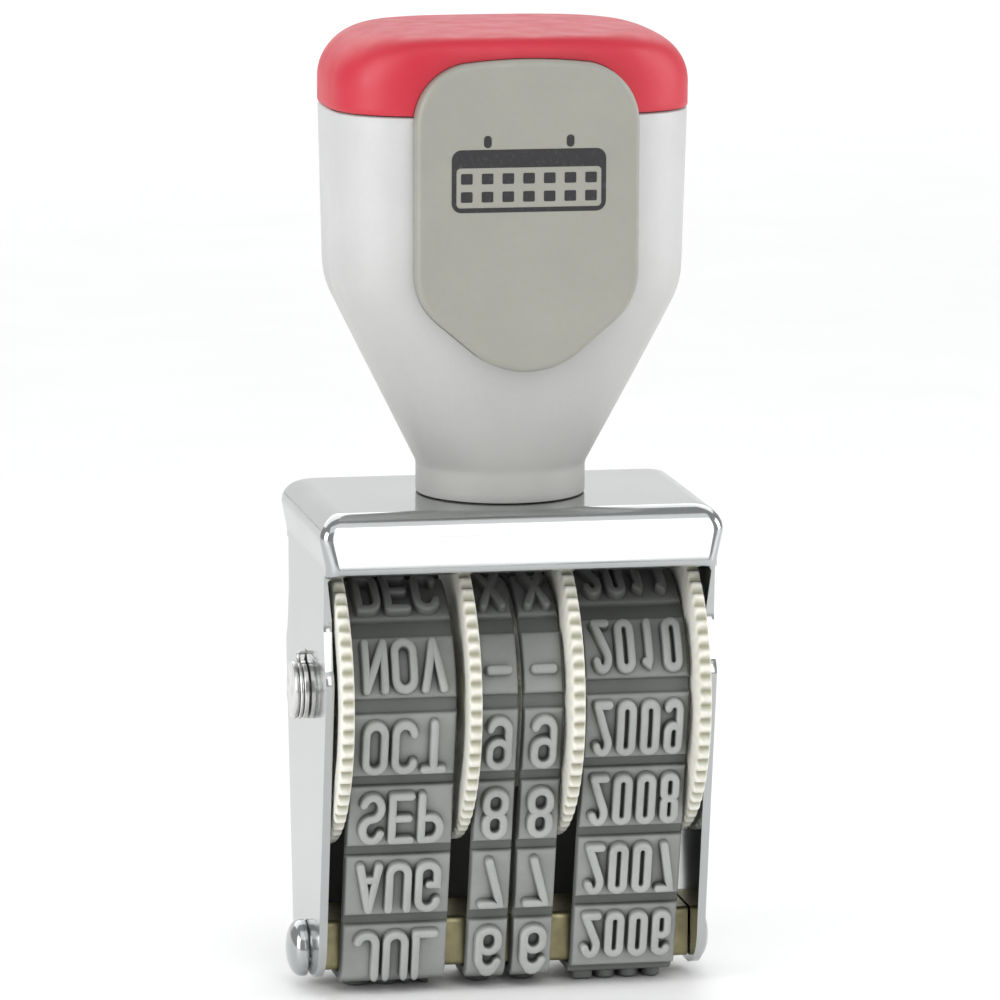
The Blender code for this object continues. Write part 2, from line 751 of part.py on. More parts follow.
def make_platen_bar(parts, cutters, material):
    low, high = BAND_THICKNESS + TOUCH, PLATEN_TOP_Z
    edge = PLATEN_EDGE_RADIUS
    half = PLATEN_HALF_DEPTH
    outline = arc(half - edge, low + edge, edge, -90, 0, 3) + arc(half - edge, high - edge, edge, 0, 90, 3)
    outline += [(-y, z) for y, z in reversed(outline)]
    end = INNER_X - TOUCH
    bar = extrude_outline("platen_bar", [outline], -end, end, ALONG_X, parts, material)
    for side in (-1, 1):
        ends = sorted((side * (end - RIVET_DEPTH - 0.2), side * (end + 2)))
        hole = x_cylinder(f"bar_hole_cutter_{side + 1}", RIVET_RADIUS + SNUG, *ends, 0, RIVET_Z, 24, cutters)
        cut(bar, hole)
    shade(bar)
    return bar


def make_platen_rivet(name, side, parts, material):
    """A domed rivet through the side plate into the end of the platen bar."""
    seat = RIGHT_X + SNUG
    tip = INNER_X - TOUCH - RIVET_DEPTH
    dome = []
    steps = 5
    for step in range(steps + 1):
        angle = pi / 2 * step / steps
        height = RIVET_RIM + (RIVET_HEAD_HEIGHT - RIVET_RIM) * cos(angle)
        dome.append((RIVET_HEAD_RADIUS * sin(angle), seat + height))
    profile = dome + [(RIVET_HEAD_RADIUS, seat), (RIVET_RADIUS, seat), (RIVET_RADIUS, tip), (0, tip)]
    if side < 0:
        profile = [(radius, -x) for radius, x in reversed(profile)]
    rivet = turned(name, profile, RIVET_Z, 24, parts, material)
    shade(rivet)
    return rivet


def main():
    reset_scene()
    parts = new_collection("band_date_stamp")
    cutters = new_collection("cutters")

    body_plastic = make_material("body_plastic", (0.72, 0.74, 0.74), 0.45)
    cap_plastic = make_material("cap_plastic", (0.75, 0.05, 0.07), 0.35)
    plaque_plastic = make_material("plaque_plastic", (0.42, 0.42, 0.37), 0.5)
    wheel_plastic = make_material("wheel_plastic", (0.76, 0.76, 0.68), 0.4)
    band_rubber = make_material("band_rubber", (0.24, 0.25, 0.24), 0.65)
    chromed_steel = make_material("chromed_steel", (0.8, 0.8, 0.82), 0.18, 1.0)
    steel = make_material("steel", (0.55, 0.55, 0.55), 0.3, 1.0)
    brass = make_material("brass", (0.55, 0.47, 0.25), 0.3, 1.0)

    pockets = [make_pocket("front_pocket_cutter", -1, cutters), make_pocket("rear_pocket_cutter", 1, cutters)]
    make_handle_body(parts, cutters, pockets, body_plastic)
    make_handle_cap(parts, cutters, pockets, cap_plastic)
    make_plaque("front_plaque", -1, parts, plaque_plastic)
    make_plaque("rear_plaque", 1, parts, plaque_plastic)
    make_handle_screw(parts, steel)
    make_screw_washer(parts, cutters, steel)

    make_frame(parts, cutters, chromed_steel)
    make_axle(parts, steel)
    make_axle_end_cap(parts, steel)
    make_axle_clip("axle_clip_left", -1, parts, steel)
    make_axle_clip("axle_clip_right", 1, parts, steel)

    outlines = band_outlines(BandPath())
    for name, disc_low, band_low, band_high in band_layout():
        make_wheel(name + "_wheel", disc_low, band_low, band_high, parts, cutters, wheel_plastic)
        make_band(name + "_band", band_low, band_high, outlines, parts, band_rubber)

    make_platen_bar(parts, cutters, brass)
    make_platen_rivet("platen_rivet_left", -1, parts, chromed_steel)
    make_platen_rivet("platen_rivet_right", 1, parts, chromed_steel)


main()
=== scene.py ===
"""Looks of the manual band date stamp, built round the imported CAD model.

Sizes are in millimetres, and MM turns them into metres. They come from the boxes of the CAD nodes,
repeat a driving dimension of the CAD model, or belong to small details that only the looks have.
The stamp stands on its type, with +Z up the handle, the user's side at -Y and +X to the right.
"""

import json
from math import asin, atan2, copysign, cos, hypot, pi, radians, sin, sqrt

import bmesh
import bpy
import numpy as np
from mathutils import Matrix, Vector
from mathutils.geometry import tessellate_polygon


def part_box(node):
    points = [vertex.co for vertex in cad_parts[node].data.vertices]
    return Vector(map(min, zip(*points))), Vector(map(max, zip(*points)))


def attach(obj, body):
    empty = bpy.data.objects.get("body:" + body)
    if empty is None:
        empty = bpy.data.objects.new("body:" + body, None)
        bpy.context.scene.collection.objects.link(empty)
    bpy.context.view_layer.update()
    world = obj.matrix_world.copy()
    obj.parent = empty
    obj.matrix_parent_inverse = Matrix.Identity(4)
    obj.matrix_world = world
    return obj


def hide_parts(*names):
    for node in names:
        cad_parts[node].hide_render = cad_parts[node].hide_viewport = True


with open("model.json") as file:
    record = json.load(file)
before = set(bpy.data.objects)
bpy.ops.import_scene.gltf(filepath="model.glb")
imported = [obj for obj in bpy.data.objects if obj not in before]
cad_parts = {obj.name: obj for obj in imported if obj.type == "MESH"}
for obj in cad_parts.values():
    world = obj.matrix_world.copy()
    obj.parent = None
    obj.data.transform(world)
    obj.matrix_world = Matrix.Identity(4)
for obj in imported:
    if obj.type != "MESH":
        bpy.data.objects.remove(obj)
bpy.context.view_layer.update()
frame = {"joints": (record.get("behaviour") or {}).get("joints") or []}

MM = 0.001


def node_box(node):
    """(lowest corner, highest corner) of a CAD node in millimetres."""
    low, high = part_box(node)
    return low / MM, high / MM


# ---- sizes in millimetres

FRAME_LOW, FRAME_HIGH = node_box("frame")
HANDLE_LOW, HANDLE_HIGH = node_box("handle_body")
CAP_LOW, CAP_HIGH = node_box("handle_cap")
PLAQUE_LOW, PLAQUE_HIGH = node_box("front_plaque")
PLATEN_LOW, PLATEN_HIGH = node_box("platen_bar")
AXLE_Z = frame["joints"][0]["pos_m"][2] / MM

# Folded frame
SHEET = 0.6
BEND_RADIUS = 1.8
HOOD_HALF_DEPTH = 9.3
HOOD_CORNER = 0.9
HOOD_FLARE = 0.42
APRON_BOTTOM_Z = 32.05
APRON_CURL = 0.6
APRON_LEAN = 0.32
WAIST_HALF_DEPTH = 7.9
WAIST_Z = 28.2
SHOULDER_HALF_DEPTH = 8.9
SHOULDER_Z = 24.0
SHOULDER_RADIUS = 1.4
FOOT_HALF_DEPTH = 6.1
FOOT_Z = 6.0
FOOT_RADIUS = 3.4
SLOT_HALF_WIDTH = 1.15
SLOT_TOP_Z = 25.15
SLOT_TIP_RADIUS = 0.4
SLOT_TIP_RISE = 1.4
RIVET_Z = 2.75
RIVET_HOLE_RADIUS = 0.85
SCREW_HOLE_RADIUS = 1.4
SHEET_EDGE = 0.09

# Handle, cap and plaques
NECK_RADIUS = 6.2
NECK_TOP_Z = 38.8
NECK_FILLET = 0.7
CONE_TOP_Z = 52.2
CONE_TOP_HALF_WIDTH = 12.8
CONE_FILLET = 6.5
SHELL_WALL = 1.8
CAVITY_FLOOR_Z = 47.0
SQUARENESS = 3.2
HANDLE_POINTS = 176
CAP_END_RADIUS = 3.8
CAP_END_REACH = 4.4
CAP_FACE_RADIUS = 1.3
CAP_FACE_REACH = 1.4
CAP_CROWN = 0.16
CAP_PLUG = (10.95, 6.4, 3.0)  # half width, half depth and squareness
PLAQUE_TIP_RADIUS = 6.0
PLAQUE_TIP_SPAN = 40
PLAQUE_CORNER = 4.4
PLAQUE_SHOULDER_RADIUS = 5.0
PLAQUE_CORNER_Z = 64.6
PLAQUE_RIM = 0.45
PLAQUE_RIM_DEPTH = 0.42
POCKET_GAP = 0.05
# Painted shade on the handle: its colour darkens towards the neck over this span of heights, by this
# share, towards this colour.
NECK_SHADE_SPAN = (39.0, 58.0)
NECK_PAINTED_SHADE = 0.44
NECK_SHADE_COLOR = (0.20, 0.195, 0.165)

# Wheels
TOOTH_COUNT = 64
TOOTH_DEPTH = 0.4
POINTS_PER_TOOTH = 8
DISC_WIDTH = 0.95
DRUM_RADIUS = 7.65
BORE_RADIUS = 1.16
HUB_RADIUS = 3.2
WEB_DEPTH = 0.18

# Bands
BAND_INNER_RADIUS = 7.75
BAND_BASE = 0.42
BAND_THICKNESS = 1.55
PAD_TOP = 0.82
PAD_INSET = 0.02
PLATEN_FLAT_HALF = 2.7
PLATEN_CORNER_RADIUS = 0.7
LEGEND_COUNT = 12
ROWS_BEFORE_JOINT = 7
ROW_PITCH = 5.57
BLOCK_LENGTH = 4.9
TYPE_HEIGHT = 4.0
STROKE_HALF_WIDTH = 0.27
STROKE_CAP_STEPS = 6
BELT_STEPS = 300
DRUM_SHRINK = 0.9
CORNER_SHIFT = 0.22
CORNER_SHRINK = 0.9
RECESS_REACH = 1.6
# Painted shade on the upper drum: the rubber darkens over this span of heights, up to this share, in
# place of the hood's shadow.
DRUM_SHADE_SPAN = (22.5, 31.5)
DRUM_PAINTED_SHADE = 0.85

# Axle, its heads and clips
SHAFT_RADIUS = 1.1
HEAD_RADIUS = 2.15
HEAD_LENGTH = 1.0
GROOVE_RADIUS = 1.9
GROOVE_HALF_WIDTH = 0.18
HEAD_GAP = 0.1
WIRE_RADIUS = 0.15
TAIL_RISE = 2.75

# Meshes
SMOOTH_ANGLE = 35
TURNED_SIDES = 96
EDGE_SEGMENTS = 3
ON_AXIS = 0.001
WELD_DISTANCE = 0.0005


# ---- outlines in the plane


def arc(centre_u, centre_v, radius, start, end, steps, rise=None):
    """Points on an arc, both ends included, with its angles in degrees; a rise makes it elliptic."""
    angles = [radians(start + (end - start) * step / steps) for step in range(steps + 1)]
    return [(centre_u + radius * cos(a), centre_v + (rise or radius) * sin(a)) for a in angles]


def fillet(points, radius, steps):
    """An open outline with its inner corners rounded, as far as the neighbouring edges allow."""
    rounded = [points[0]]
    for before, corner, after in zip(points, points[1:], points[2:]):
        at = Vector(corner)
        back, forth = Vector(before) - at, Vector(after) - at
        half = back.angle(forth, pi) / 2
        if half > 1.5 or half < 0.05:
            rounded.append(corner)
            continue
        reach = min(radius * cos(half) / sin(half), 0.45 * back.length, 0.45 * forth.length)
        start, end = at + back.normalized() * reach, at + forth.normalized() * reach
        for step in range(steps + 1):
            share = step / steps
            point = start.lerp(at, share).lerp(at.lerp(end, share), share)
            rounded.append((point.x, point.y))
    rounded.append(points[-1])
    return rounded


# Start, end and steps of a round hole, whose last point is one step short of its first.
HOLE_ARC = (0, 352.5, 47)


def quarter_turn(steps):
    """Angles from nil to a right angle, in radians."""
    return [pi / 2 * step / steps for step in range(steps + 1)]


def mirrored(right):
    """A closed outline from its right half, given from one end of the axis to the other."""
    return right + [(-u, v) for u, v in reversed(right) if abs(u) > 1e-6]


def rectangle(low_u, low_v, high_u, high_v, radius, steps=5):
    """The outline of a rectangle with rounded corners, from its lower right corner on."""
    us, vs = (low_u + radius, high_u - radius), (low_v + radius, high_v - radius)
    points = []
    for quarter, (right, upper) in enumerate(((1, 0), (1, 1), (0, 1), (0, 0))):
        points += arc(us[right], vs[upper], radius, 90 * quarter - 90, 90 * quarter, steps)
    return points


def superellipse(half_width, half_depth, power, z):
    """A level ring like a rounded rectangle, which is an ellipse when the power is 2."""
    points = []
    for step in range(HANDLE_POINTS):
        angle = 2 * pi * step / HANDLE_POINTS
        u, v = (copysign(abs(turn) ** (2 / power), turn) for turn in (cos(angle), sin(angle)))
        points.append((half_width * u, half_depth * v, z))
    return points


# ---- meshes


def add_to_scene(obj):
    bpy.context.scene.collection.objects.link(obj)
    return obj


class Builder:
    """Collects points in millimetres and faces, and makes one object of them.

    Relief is a value at each point, which the materials read: 1 stands out, 0 is a groove.
    """

    def __init__(self):
        self.points = []
        self.faces = []
        self.relief = []

    def add(self, points, relief=1.0):
        first = len(self.points)
        self.points += points
        self.relief += [relief] * len(points) if isinstance(relief, float) else list(relief)
        return list(range(first, len(self.points)))

    def ring_strip(self, lower, upper, closed=True):
        count = len(lower)
        for index in range(count if closed else count - 1):
            after = (index + 1) % count
            self.faces.append((lower[index], lower[after], upper[after], upper[index]))

    def strips(self, rows, closed=True):
        for lower, upper in zip(rows, rows[1:]):
            self.ring_strip(lower, upper, closed)

    def build(self, name, material, smooth=SMOOTH_ANGLE):
        mesh = bpy.data.meshes.new(name)
        mesh.from_pydata([(x * MM, y * MM, z * MM) for x, y, z in self.points], [], self.faces)
        values = mesh.attributes.new("relief", "FLOAT", "POINT")
        values.data.foreach_set("value", np.array(self.relief, np.float32))
        mesh.materials.append(material)
        shape = bmesh.new()
        shape.from_mesh(mesh)
        bmesh.ops.remove_doubles(shape, verts=shape.verts, dist=WELD_DISTANCE * MM)
        bmesh.ops.recalc_face_normals(shape, faces=shape.faces)
        shape.to_mesh(mesh)
        shape.free()
        mesh.shade_smooth()
        mesh.set_sharp_from_angle(angle=radians(smooth))
        return add_to_scene(bpy.data.objects.new(name, mesh))


def place(obj, slot, *nodes, body="stamp_body"):
    """The piece moves with a body and stands for CAD nodes, whose meshes it hides. The slot is not
    used.
    """
    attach(obj, body)
    if nodes:
        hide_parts(*nodes)


def lofted(name, rings, material, smooth=SMOOTH_ANGLE, capped=True):
    """A piece of closed rings of equal length, joined one after another, with its ends filled."""
    builder = Builder()
    rows = [builder.add(ring) for ring in rings]
    builder.strips(rows)
    if capped:
        builder.faces += [tuple(reversed(rows[0])), tuple(rows[-1])]
    return builder.build(name, material, smooth)


def turned_rings(profile, sides, centre_z):
    """Rings of a profile of (radius, x) pairs turned about the X axis at a height."""
    angles = [2 * pi * side / sides for side in range(sides)]
    return [[(x, r * cos(a), centre_z + r * sin(a)) for a in angles] for r, x in profile]


def turned(name, profile, centre_z, material):
    return lofted(name, turned_rings(profile, TURNED_SIDES, centre_z), material)


def fill(builder, loops, axes):
    """Fills a flat outline with holes, given as loops of point numbers, seen along the third axis."""
    first, second = axes
    points = builder.points
    outlines = [[Vector((points[i][first], points[i][second], 0)) for i in loop] for loop in loops]
    joined = [index for loop in loops for index in loop]
    builder.faces += [tuple(joined[i] for i in triangle) for triangle in tessellate_polygon(outlines)]


def extruded(name, outlines, low, high, along_x, material):
    """Outlines, the later ones being holes, extruded along X or else along Y."""
    builder = Builder()
    ends = []
    for depth in (low, high):
        ends.append([])
        for outline in outlines:
            points = [(depth, u, v) if along_x else (u, depth, v) for u, v in outline]
            ends[-1].append(builder.add(points))
        fill(builder, ends[-1], (1, 2) if along_x else (0, 2))
    for lower, upper in zip(*ends):
        builder.ring_strip(lower, upper)
    return builder.build(name, material)


def round_edges(obj, width, angle=50):
    """Rounds the sharp edges, and keeps the flat faces flat in their shading."""
    bevel = obj.modifiers.new("Edges", "BEVEL")
    bevel.width = width * MM
    bevel.segments = EDGE_SEGMENTS
    bevel.limit_method = "ANGLE"
    bevel.angle_limit = radians(angle)
    weighted = obj.modifiers.new("Shading", "WEIGHTED_NORMAL")
    weighted.weight = 100
    weighted.keep_sharp = False
    obj.data.shade_smooth()
    for edge in obj.data.edges:
        edge.use_edge_sharp = False


def wire(name, points, radius, material):
    """A round wire through points, with smooth bends."""
    curve = bpy.data.curves.new(name, "CURVE")
    curve.dimensions = "3D"
    curve.bevel_depth = radius * MM
    curve.bevel_resolution = 4
    curve.resolution_u = 6
    curve.use_fill_caps = True
    curve.materials.append(material)
    spline = curve.splines.new("NURBS")
    spline.points.add(len(points) - 1)
    for point, (x, y, z) in zip(spline.points, points):
        point.co = (x * MM, y * MM, z * MM, 1)
    spline.use_endpoint_u = True
    spline.order_u = 3
    return add_to_scene(bpy.data.objects.new(name, curve))


def cut(obj, cutter):
    """Cuts once and keeps the result as the mesh."""
    modifier = obj.modifiers.new("Cut", "BOOLEAN")
    modifier.operation = "DIFFERENCE"
    modifier.solver = "EXACT"
    modifier.object = cutter
    bpy.context.view_layer.update()
    graph = bpy.context.evaluated_depsgraph_get()
    mesh = bpy.data.meshes.new_from_object(obj.evaluated_get(graph))
    obj.modifiers.remove(modifier)
    mesh.name = obj.name
    obj.data = mesh
    bpy.data.objects.remove(cutter, do_unlink=True)
    mesh.shade_smooth()
    mesh.set_sharp_from_angle(angle=radians(SMOOTH_ANGLE))


# ---- materials


NOISE_SPAN = (0.3, 0.7)


class Nodes:
    """A Principled material and a few short ways to feed it."""

    def __init__(self, name, color, roughness, metallic=0.0):
        self.material = bpy.data.materials.new(name)
        self.material.use_nodes = True
        self.tree = self.material.node_tree
        self.shader = self.tree.nodes["Principled BSDF"]
        self.shader.inputs["Base Color"].default_value = (*color, 1)
        self.shader.inputs["Roughness"].default_value = roughness
        self.shader.inputs["Metallic"].default_value = metallic
        self.where = self.tree.nodes.new("ShaderNodeTexCoord").outputs["Object"]

    def new(self, kind, **values):
        node = self.tree.nodes.new(kind)
        for name, value in values.items():
            setattr(node, name, value)
        return node

    def link(self, output, target):
        self.tree.links.new(output, target)

    def noise(self, per_mm, detail=3.0, stretch=(1, 1, 1), seed=0.0):
        """Noise with so many features to a millimetre, stretched by the given factors."""
        mapping = self.new("ShaderNodeMapping")
        mapping.inputs["Scale"].default_value = stretch
        mapping.inputs["Location"].default_value = (seed, seed, seed)
        noise = self.new("ShaderNodeTexNoise")
        noise.inputs["Scale"].default_value = per_mm / MM
        noise.inputs["Detail"].default_value = detail
        self.link(self.where, mapping.inputs["Vector"])
        self.link(mapping.outputs["Vector"], noise.inputs["Vector"])
        return noise.outputs["Fac"]

    def clouds(self, per_mm, detail, seed=0.0):
        """Noise spread out, so that it nearly fills the range from 0 to 1."""
        return self.remap(self.noise(per_mm, detail, seed=seed), *NOISE_SPAN)

    def height(self, low, high, to_low, to_high):
        """A value that follows the height above the floor, given in millimetres."""
        axes = self.new("ShaderNodeSeparateXYZ")
        self.link(self.where, axes.inputs["Vector"])
        return self.remap(axes.outputs["Z"], low * MM, high * MM, to_low, to_high)

    def relief(self):
        return self.new("ShaderNodeAttribute", attribute_name="relief").outputs["Fac"]

    def remap(self, value, low, high, to_low=0.0, to_high=1.0):
        node = self.new("ShaderNodeMapRange")
        limits = {"From Min": low, "From Max": high, "To Min": to_low, "To Max": to_high}
        for name, number in limits.items():
            node.inputs[name].default_value = number
        self.link(value, node.inputs["Value"])
        return node.outputs["Result"]

    def blend(self, value, first, second):
        """A colour between two colours, each three numbers or a socket."""
        mix = self.new("ShaderNodeMix", data_type="RGBA")
        self.link(value, mix.inputs["Factor"])
        sockets = [socket for socket in mix.inputs if socket.type == "RGBA"]
        for socket, color in zip(sockets, (first, second)):
            if isinstance(color, tuple):
                socket.default_value = (*color, 1)
            else:
                self.link(color, socket)
        return next(socket for socket in mix.outputs if socket.type == "RGBA")

    def tints(self, value, color, dark, light):
        """A colour between two tints of one colour."""
        return self.blend(value, tinted(color, dark), tinted(color, light))

    def color(self, socket):
        self.link(socket, self.shader.inputs["Base Color"])

    def roughness(self, socket):
        self.link(socket, self.shader.inputs["Roughness"])

    def subsurface(self, weight, scale_mm):
        self.shader.inputs["Subsurface Weight"].default_value = weight
        self.shader.inputs["Subsurface Scale"].default_value = scale_mm * MM

    def bump(self, *layers):
        """Bumps from (height socket, depth in millimetres) pairs, laid one over another."""
        below = None
        for height, depth in layers:
            node = self.new("ShaderNodeBump")
            node.inputs["Strength"].default_value = 1.0
            node.inputs["Distance"].default_value = depth * MM
            self.link(height, node.inputs["Height"])
            if below:
                self.link(below, node.inputs["Normal"])
            below = node.outputs["Normal"]
        self.link(below, self.shader.inputs["Normal"])


def tinted(color, factor):
    return tuple(min(1.0, channel * factor) for channel in color)


def moulded_plastic(name, color, roughness, grain=0.006, subsurface=0.0, shaded_neck=False):
    """Fine-grained moulded plastic with mottling, rub marks and, if asked, painted shade that darkens
    it towards the neck.
    """
    nodes = Nodes(name, color, roughness)
    mottled = nodes.tints(nodes.clouds(0.22, 4.0), color, 0.96, 1.03)
    speck = nodes.remap(nodes.clouds(2.6, 3.0, seed=0.3), 0.0, 1.0, 0.0, 0.35)
    finish = nodes.blend(speck, mottled, tinted(color, 0.93))
    if shaded_neck:
        # Painted shade: the colour darkens towards the neck.
        neck_shade = nodes.height(*NECK_SHADE_SPAN, NECK_PAINTED_SHADE, 0.0)
        finish = nodes.blend(neck_shade, finish, NECK_SHADE_COLOR)
    nodes.color(finish)
    rub = nodes.noise(0.5, 5.0, stretch=(1, 1, 0.25), seed=0.7)
    nodes.roughness(nodes.remap(rub, *NOISE_SPAN, roughness - 0.06, roughness + 0.07))
    nodes.bump((nodes.noise(4.5, 2.0), grain), (nodes.noise(1.1, 2.0, seed=0.5), grain * 0.8))
    nodes.subsurface(subsurface, 0.6)
    return nodes.material


def plated_steel(name, color, roughness):
    """Nickel-chrome plate: clear reflections, faint rolling lines, smudges and hairline scratches."""
    nodes = Nodes(name, color, roughness, metallic=1.0)
    smudge = nodes.noise(0.12, 5.0, seed=0.2)
    lines = nodes.noise(3.0, 3.0, stretch=(0.03, 0.03, 1))
    scratch = nodes.remap(nodes.noise(1.4, 8.0, stretch=(1, 1, 0.05), seed=0.9), 0.62, 0.7)
    film = nodes.tints(nodes.remap(smudge, 0.35, 0.65), color, 0.97, 1.02)
    nodes.color(nodes.blend(nodes.remap(scratch, 0, 1, 0, 0.12), film, tinted(color, 0.8)))
    nodes.roughness(nodes.remap(smudge, *NOISE_SPAN, roughness - 0.03, roughness + 0.06))
    nodes.bump((lines, 0.0012), (scratch, 0.0012))
    return nodes.material


def turned_metal(name, color, roughness):
    """Metal off a lathe: fine rings round the X axis and small stains."""
    nodes = Nodes(name, color, roughness, metallic=1.0)
    stain = nodes.noise(0.9, 5.0, seed=0.4)
    nodes.color(nodes.tints(nodes.remap(stain, 0.35, 0.7), color, 1.05, 0.82))
    nodes.roughness(nodes.remap(stain, *NOISE_SPAN, roughness - 0.05, roughness + 0.1))
    nodes.bump((nodes.noise(9.0, 2.0, stretch=(1, 0.02, 0.02)), 0.003))
    return nodes.material


def moulded_rubber(name, color, groove_color):
    """Grey moulded rubber with dust; painted shade darkens its grooves, which also hold some ink, its
    recesses and the top of the drum.
    """
    nodes = Nodes(name, color, 0.62)
    cloud = nodes.clouds(0.35, 5.0)
    dust = nodes.remap(nodes.noise(5.0, 4.0, seed=0.6), 0.55, 0.75, 0, 0.25)
    dusty = nodes.blend(dust, nodes.tints(cloud, color, 0.9, 1.08), tinted(color, 1.35))
    # Painted shade with some ink: low relief, in the grooves and at the foot of pads and type, takes
    # the groove colour.
    grooved = nodes.blend(nodes.relief(), groove_color, dusty)
    # Painted shade: ambient occlusion darkens the recesses and the rows under the hood.
    recess = nodes.new("ShaderNodeAmbientOcclusion", samples=12)
    recess.inputs["Distance"].default_value = RECESS_REACH * MM
    open_share = nodes.remap(recess.outputs["AO"], 0.25, 0.75)
    shaded = nodes.blend(open_share, tinted(groove_color, 0.4), grooved)
    # Painted shade: the upper drum darkens, in place of the hood's shadow.
    drum_shade = nodes.height(*DRUM_SHADE_SPAN, 0.0, DRUM_PAINTED_SHADE)
    nodes.color(nodes.blend(drum_shade, shaded, tinted(groove_color, 0.35)))
    nodes.roughness(nodes.remap(cloud, 0.0, 1.0, 0.52, 0.7))
    nodes.bump((nodes.noise(6.0, 3.0), 0.008), (nodes.noise(0.8, 2.0, seed=0.1), 0.02))
    nodes.shader.inputs["Sheen Weight"].default_value = 0.08
    nodes.shader.inputs["Sheen Roughness"].default_value = 0.5
    return nodes.material


def dial_plastic(name, color, tooth_shade_color):
    """Cream plastic of the thumb wheels, with painted shade between the teeth."""
    nodes = Nodes(name, color, 0.42)
    cloud = nodes.clouds(0.6, 4.0)
    body = nodes.tints(cloud, color, 0.95, 1.03)
    # Painted shade: low relief between the teeth takes the dark colour, unevenly.
    patchy = nodes.new("ShaderNodeMath", operation="MULTIPLY", use_clamp=True)
    nodes.link(nodes.relief(), patchy.inputs[0])
    nodes.link(nodes.remap(nodes.noise(1.5, 3.0, seed=0.8), 0.2, 0.6, 0.75, 1.2), patchy.inputs[1])
    nodes.color(nodes.blend(patchy.outputs["Value"], tooth_shade_color, body))
    nodes.roughness(nodes.remap(cloud, 0, 1, 0.36, 0.48))
    nodes.bump((nodes.noise(5.0, 2.0), 0.004))
    nodes.subsurface(0.12, 0.5)
    return nodes.material


def printed_ink(name):
    """Pad-printed black ink, a little thin in places."""
    nodes = Nodes(name, (0.012, 0.012, 0.014), 0.5)
    thin = nodes.remap(nodes.noise(3.5, 5.0), 0.55, 0.8)
    nodes.color(nodes.blend(thin, (0.01, 0.01, 0.012), (0.045, 0.045, 0.045)))
    nodes.roughness(nodes.remap(thin, 0, 1, 0.42, 0.6))
    nodes.bump((nodes.noise(6.0, 2.0), 0.002))
    return nodes.material


# The body plastic carries painted shade towards its neck.
BODY_PLASTIC = moulded_plastic("light_grey_plastic", (0.515, 0.52, 0.515), 0.45, shaded_neck=True)
CAP_PLASTIC = moulded_plastic("red_plastic", (0.52, 0.017, 0.036), 0.45, grain=0.004, subsurface=0.05)
PLAQUE_PLASTIC = moulded_plastic("warm_grey_plastic", (0.30, 0.30, 0.262), 0.45, grain=0.005)
# The third colour is the painted shade between the wheels' teeth.
WHEEL_PLASTIC = dial_plastic("cream_plastic", (0.79, 0.785, 0.71), (0.34, 0.335, 0.24))
# The second colour is the painted shade of grooves and recesses, with some ink in the grooves.
RUBBER = moulded_rubber("grey_rubber", (0.385, 0.40, 0.385), (0.125, 0.132, 0.125))
CHROME = plated_steel("plated_sheet_steel", (0.46, 0.475, 0.475), 0.13)
STEEL = turned_metal("turned_steel", (0.68, 0.68, 0.66), 0.2)
BRASS = turned_metal("platen_brass", (0.27, 0.245, 0.14), 0.38)
INK = printed_ink("black_ink")


# ---- handle


def handle_profile():
    """The handle's half width against its height, with the neck and the shoulder rounded."""
    corners = [
        (HANDLE_LOW.z, NECK_RADIUS),
        (NECK_TOP_Z, NECK_RADIUS),
        (CONE_TOP_Z, CONE_TOP_HALF_WIDTH),
        (HANDLE_HIGH.z + 1, HANDLE_HIGH.x),
    ]
    neck, shoulder = fillet(corners[:3], NECK_FILLET, 6), fillet(corners[1:], CONE_FILLET, 16)
    return np.array(neck[:-1] + shoulder[1:])


HANDLE_OUTLINE = handle_profile()
CAP_TOP_Z = CAP_HIGH.z - CAP_CROWN


def handle_section(z, inset=0.0):
    """A ring of the moulded handle at a height."""
    rise = min(max((z - NECK_TOP_Z) / (CONE_TOP_Z - NECK_TOP_Z), 0.0), 1.0)
    half_width = float(np.interp(z, HANDLE_OUTLINE[:, 0], HANDLE_OUTLINE[:, 1]))
    half_depth = NECK_RADIUS + (HANDLE_HIGH.y - NECK_RADIUS) * sin(rise * pi / 2)
    power = 2 + (SQUARENESS - 2) * rise
    return superellipse(half_width - inset, half_depth - inset, power, z)


def make_handle_shell():
    """The hollow handle: up its outside, over its rim and down the inside to the cavity's floor."""
    low, high = HANDLE_LOW.z, HANDLE_HIGH.z
    rings = [handle_section(low, 0.18), handle_section(low + 0.05, 0.05), handle_section(low + 0.18)]
    spans = [(low + 0.6, NECK_TOP_Z - 0.4, 3), (NECK_TOP_Z - 0.2, NECK_TOP_Z + 1.4, 7)]
    spans += [(NECK_TOP_Z + 2, CONE_TOP_Z - 2.2, 14), (CONE_TOP_Z - 1.7, CONE_TOP_Z + 4.3, 22)]
    spans += [(CONE_TOP_Z + 5.3, high - 0.25, 7)]
    rings += [handle_section(z) for span in spans for z in np.linspace(*span)]
    rings += [handle_section(high - 0.08, 0.03), handle_section(high, 0.14)]
    rings.append(handle_section(high, SHELL_WALL))
    rings += [handle_section(z, SHELL_WALL) for z in np.linspace(high - 1, CAVITY_FLOOR_Z, 9)]
    shell = lofted("handle_shell", rings, BODY_PLASTIC)
    cut_pockets(shell)
    place(shell, "body_plastic", "handle_body")


def cap_section(z, scale=1.0):
    """A ring of the cap: its ends are rounded widely, its front and back tightly."""
    reaches = []
    for radius, reach in ((CAP_END_RADIUS, CAP_END_REACH), (CAP_FACE_RADIUS, CAP_FACE_REACH)):
        rise = min(max((z - CAP_TOP_Z + radius) / radius, 0.0), 1.0)
        reaches.append(reach * (1 - sqrt(1 - rise**2)))
    half_width = (CAP_HIGH.x - reaches[0]) * scale
    half_depth = (HANDLE_HIGH.y + 0.02 - reaches[1]) * scale
    return superellipse(half_width, half_depth, SQUARENESS, z + CAP_CROWN * (1 - scale**2))


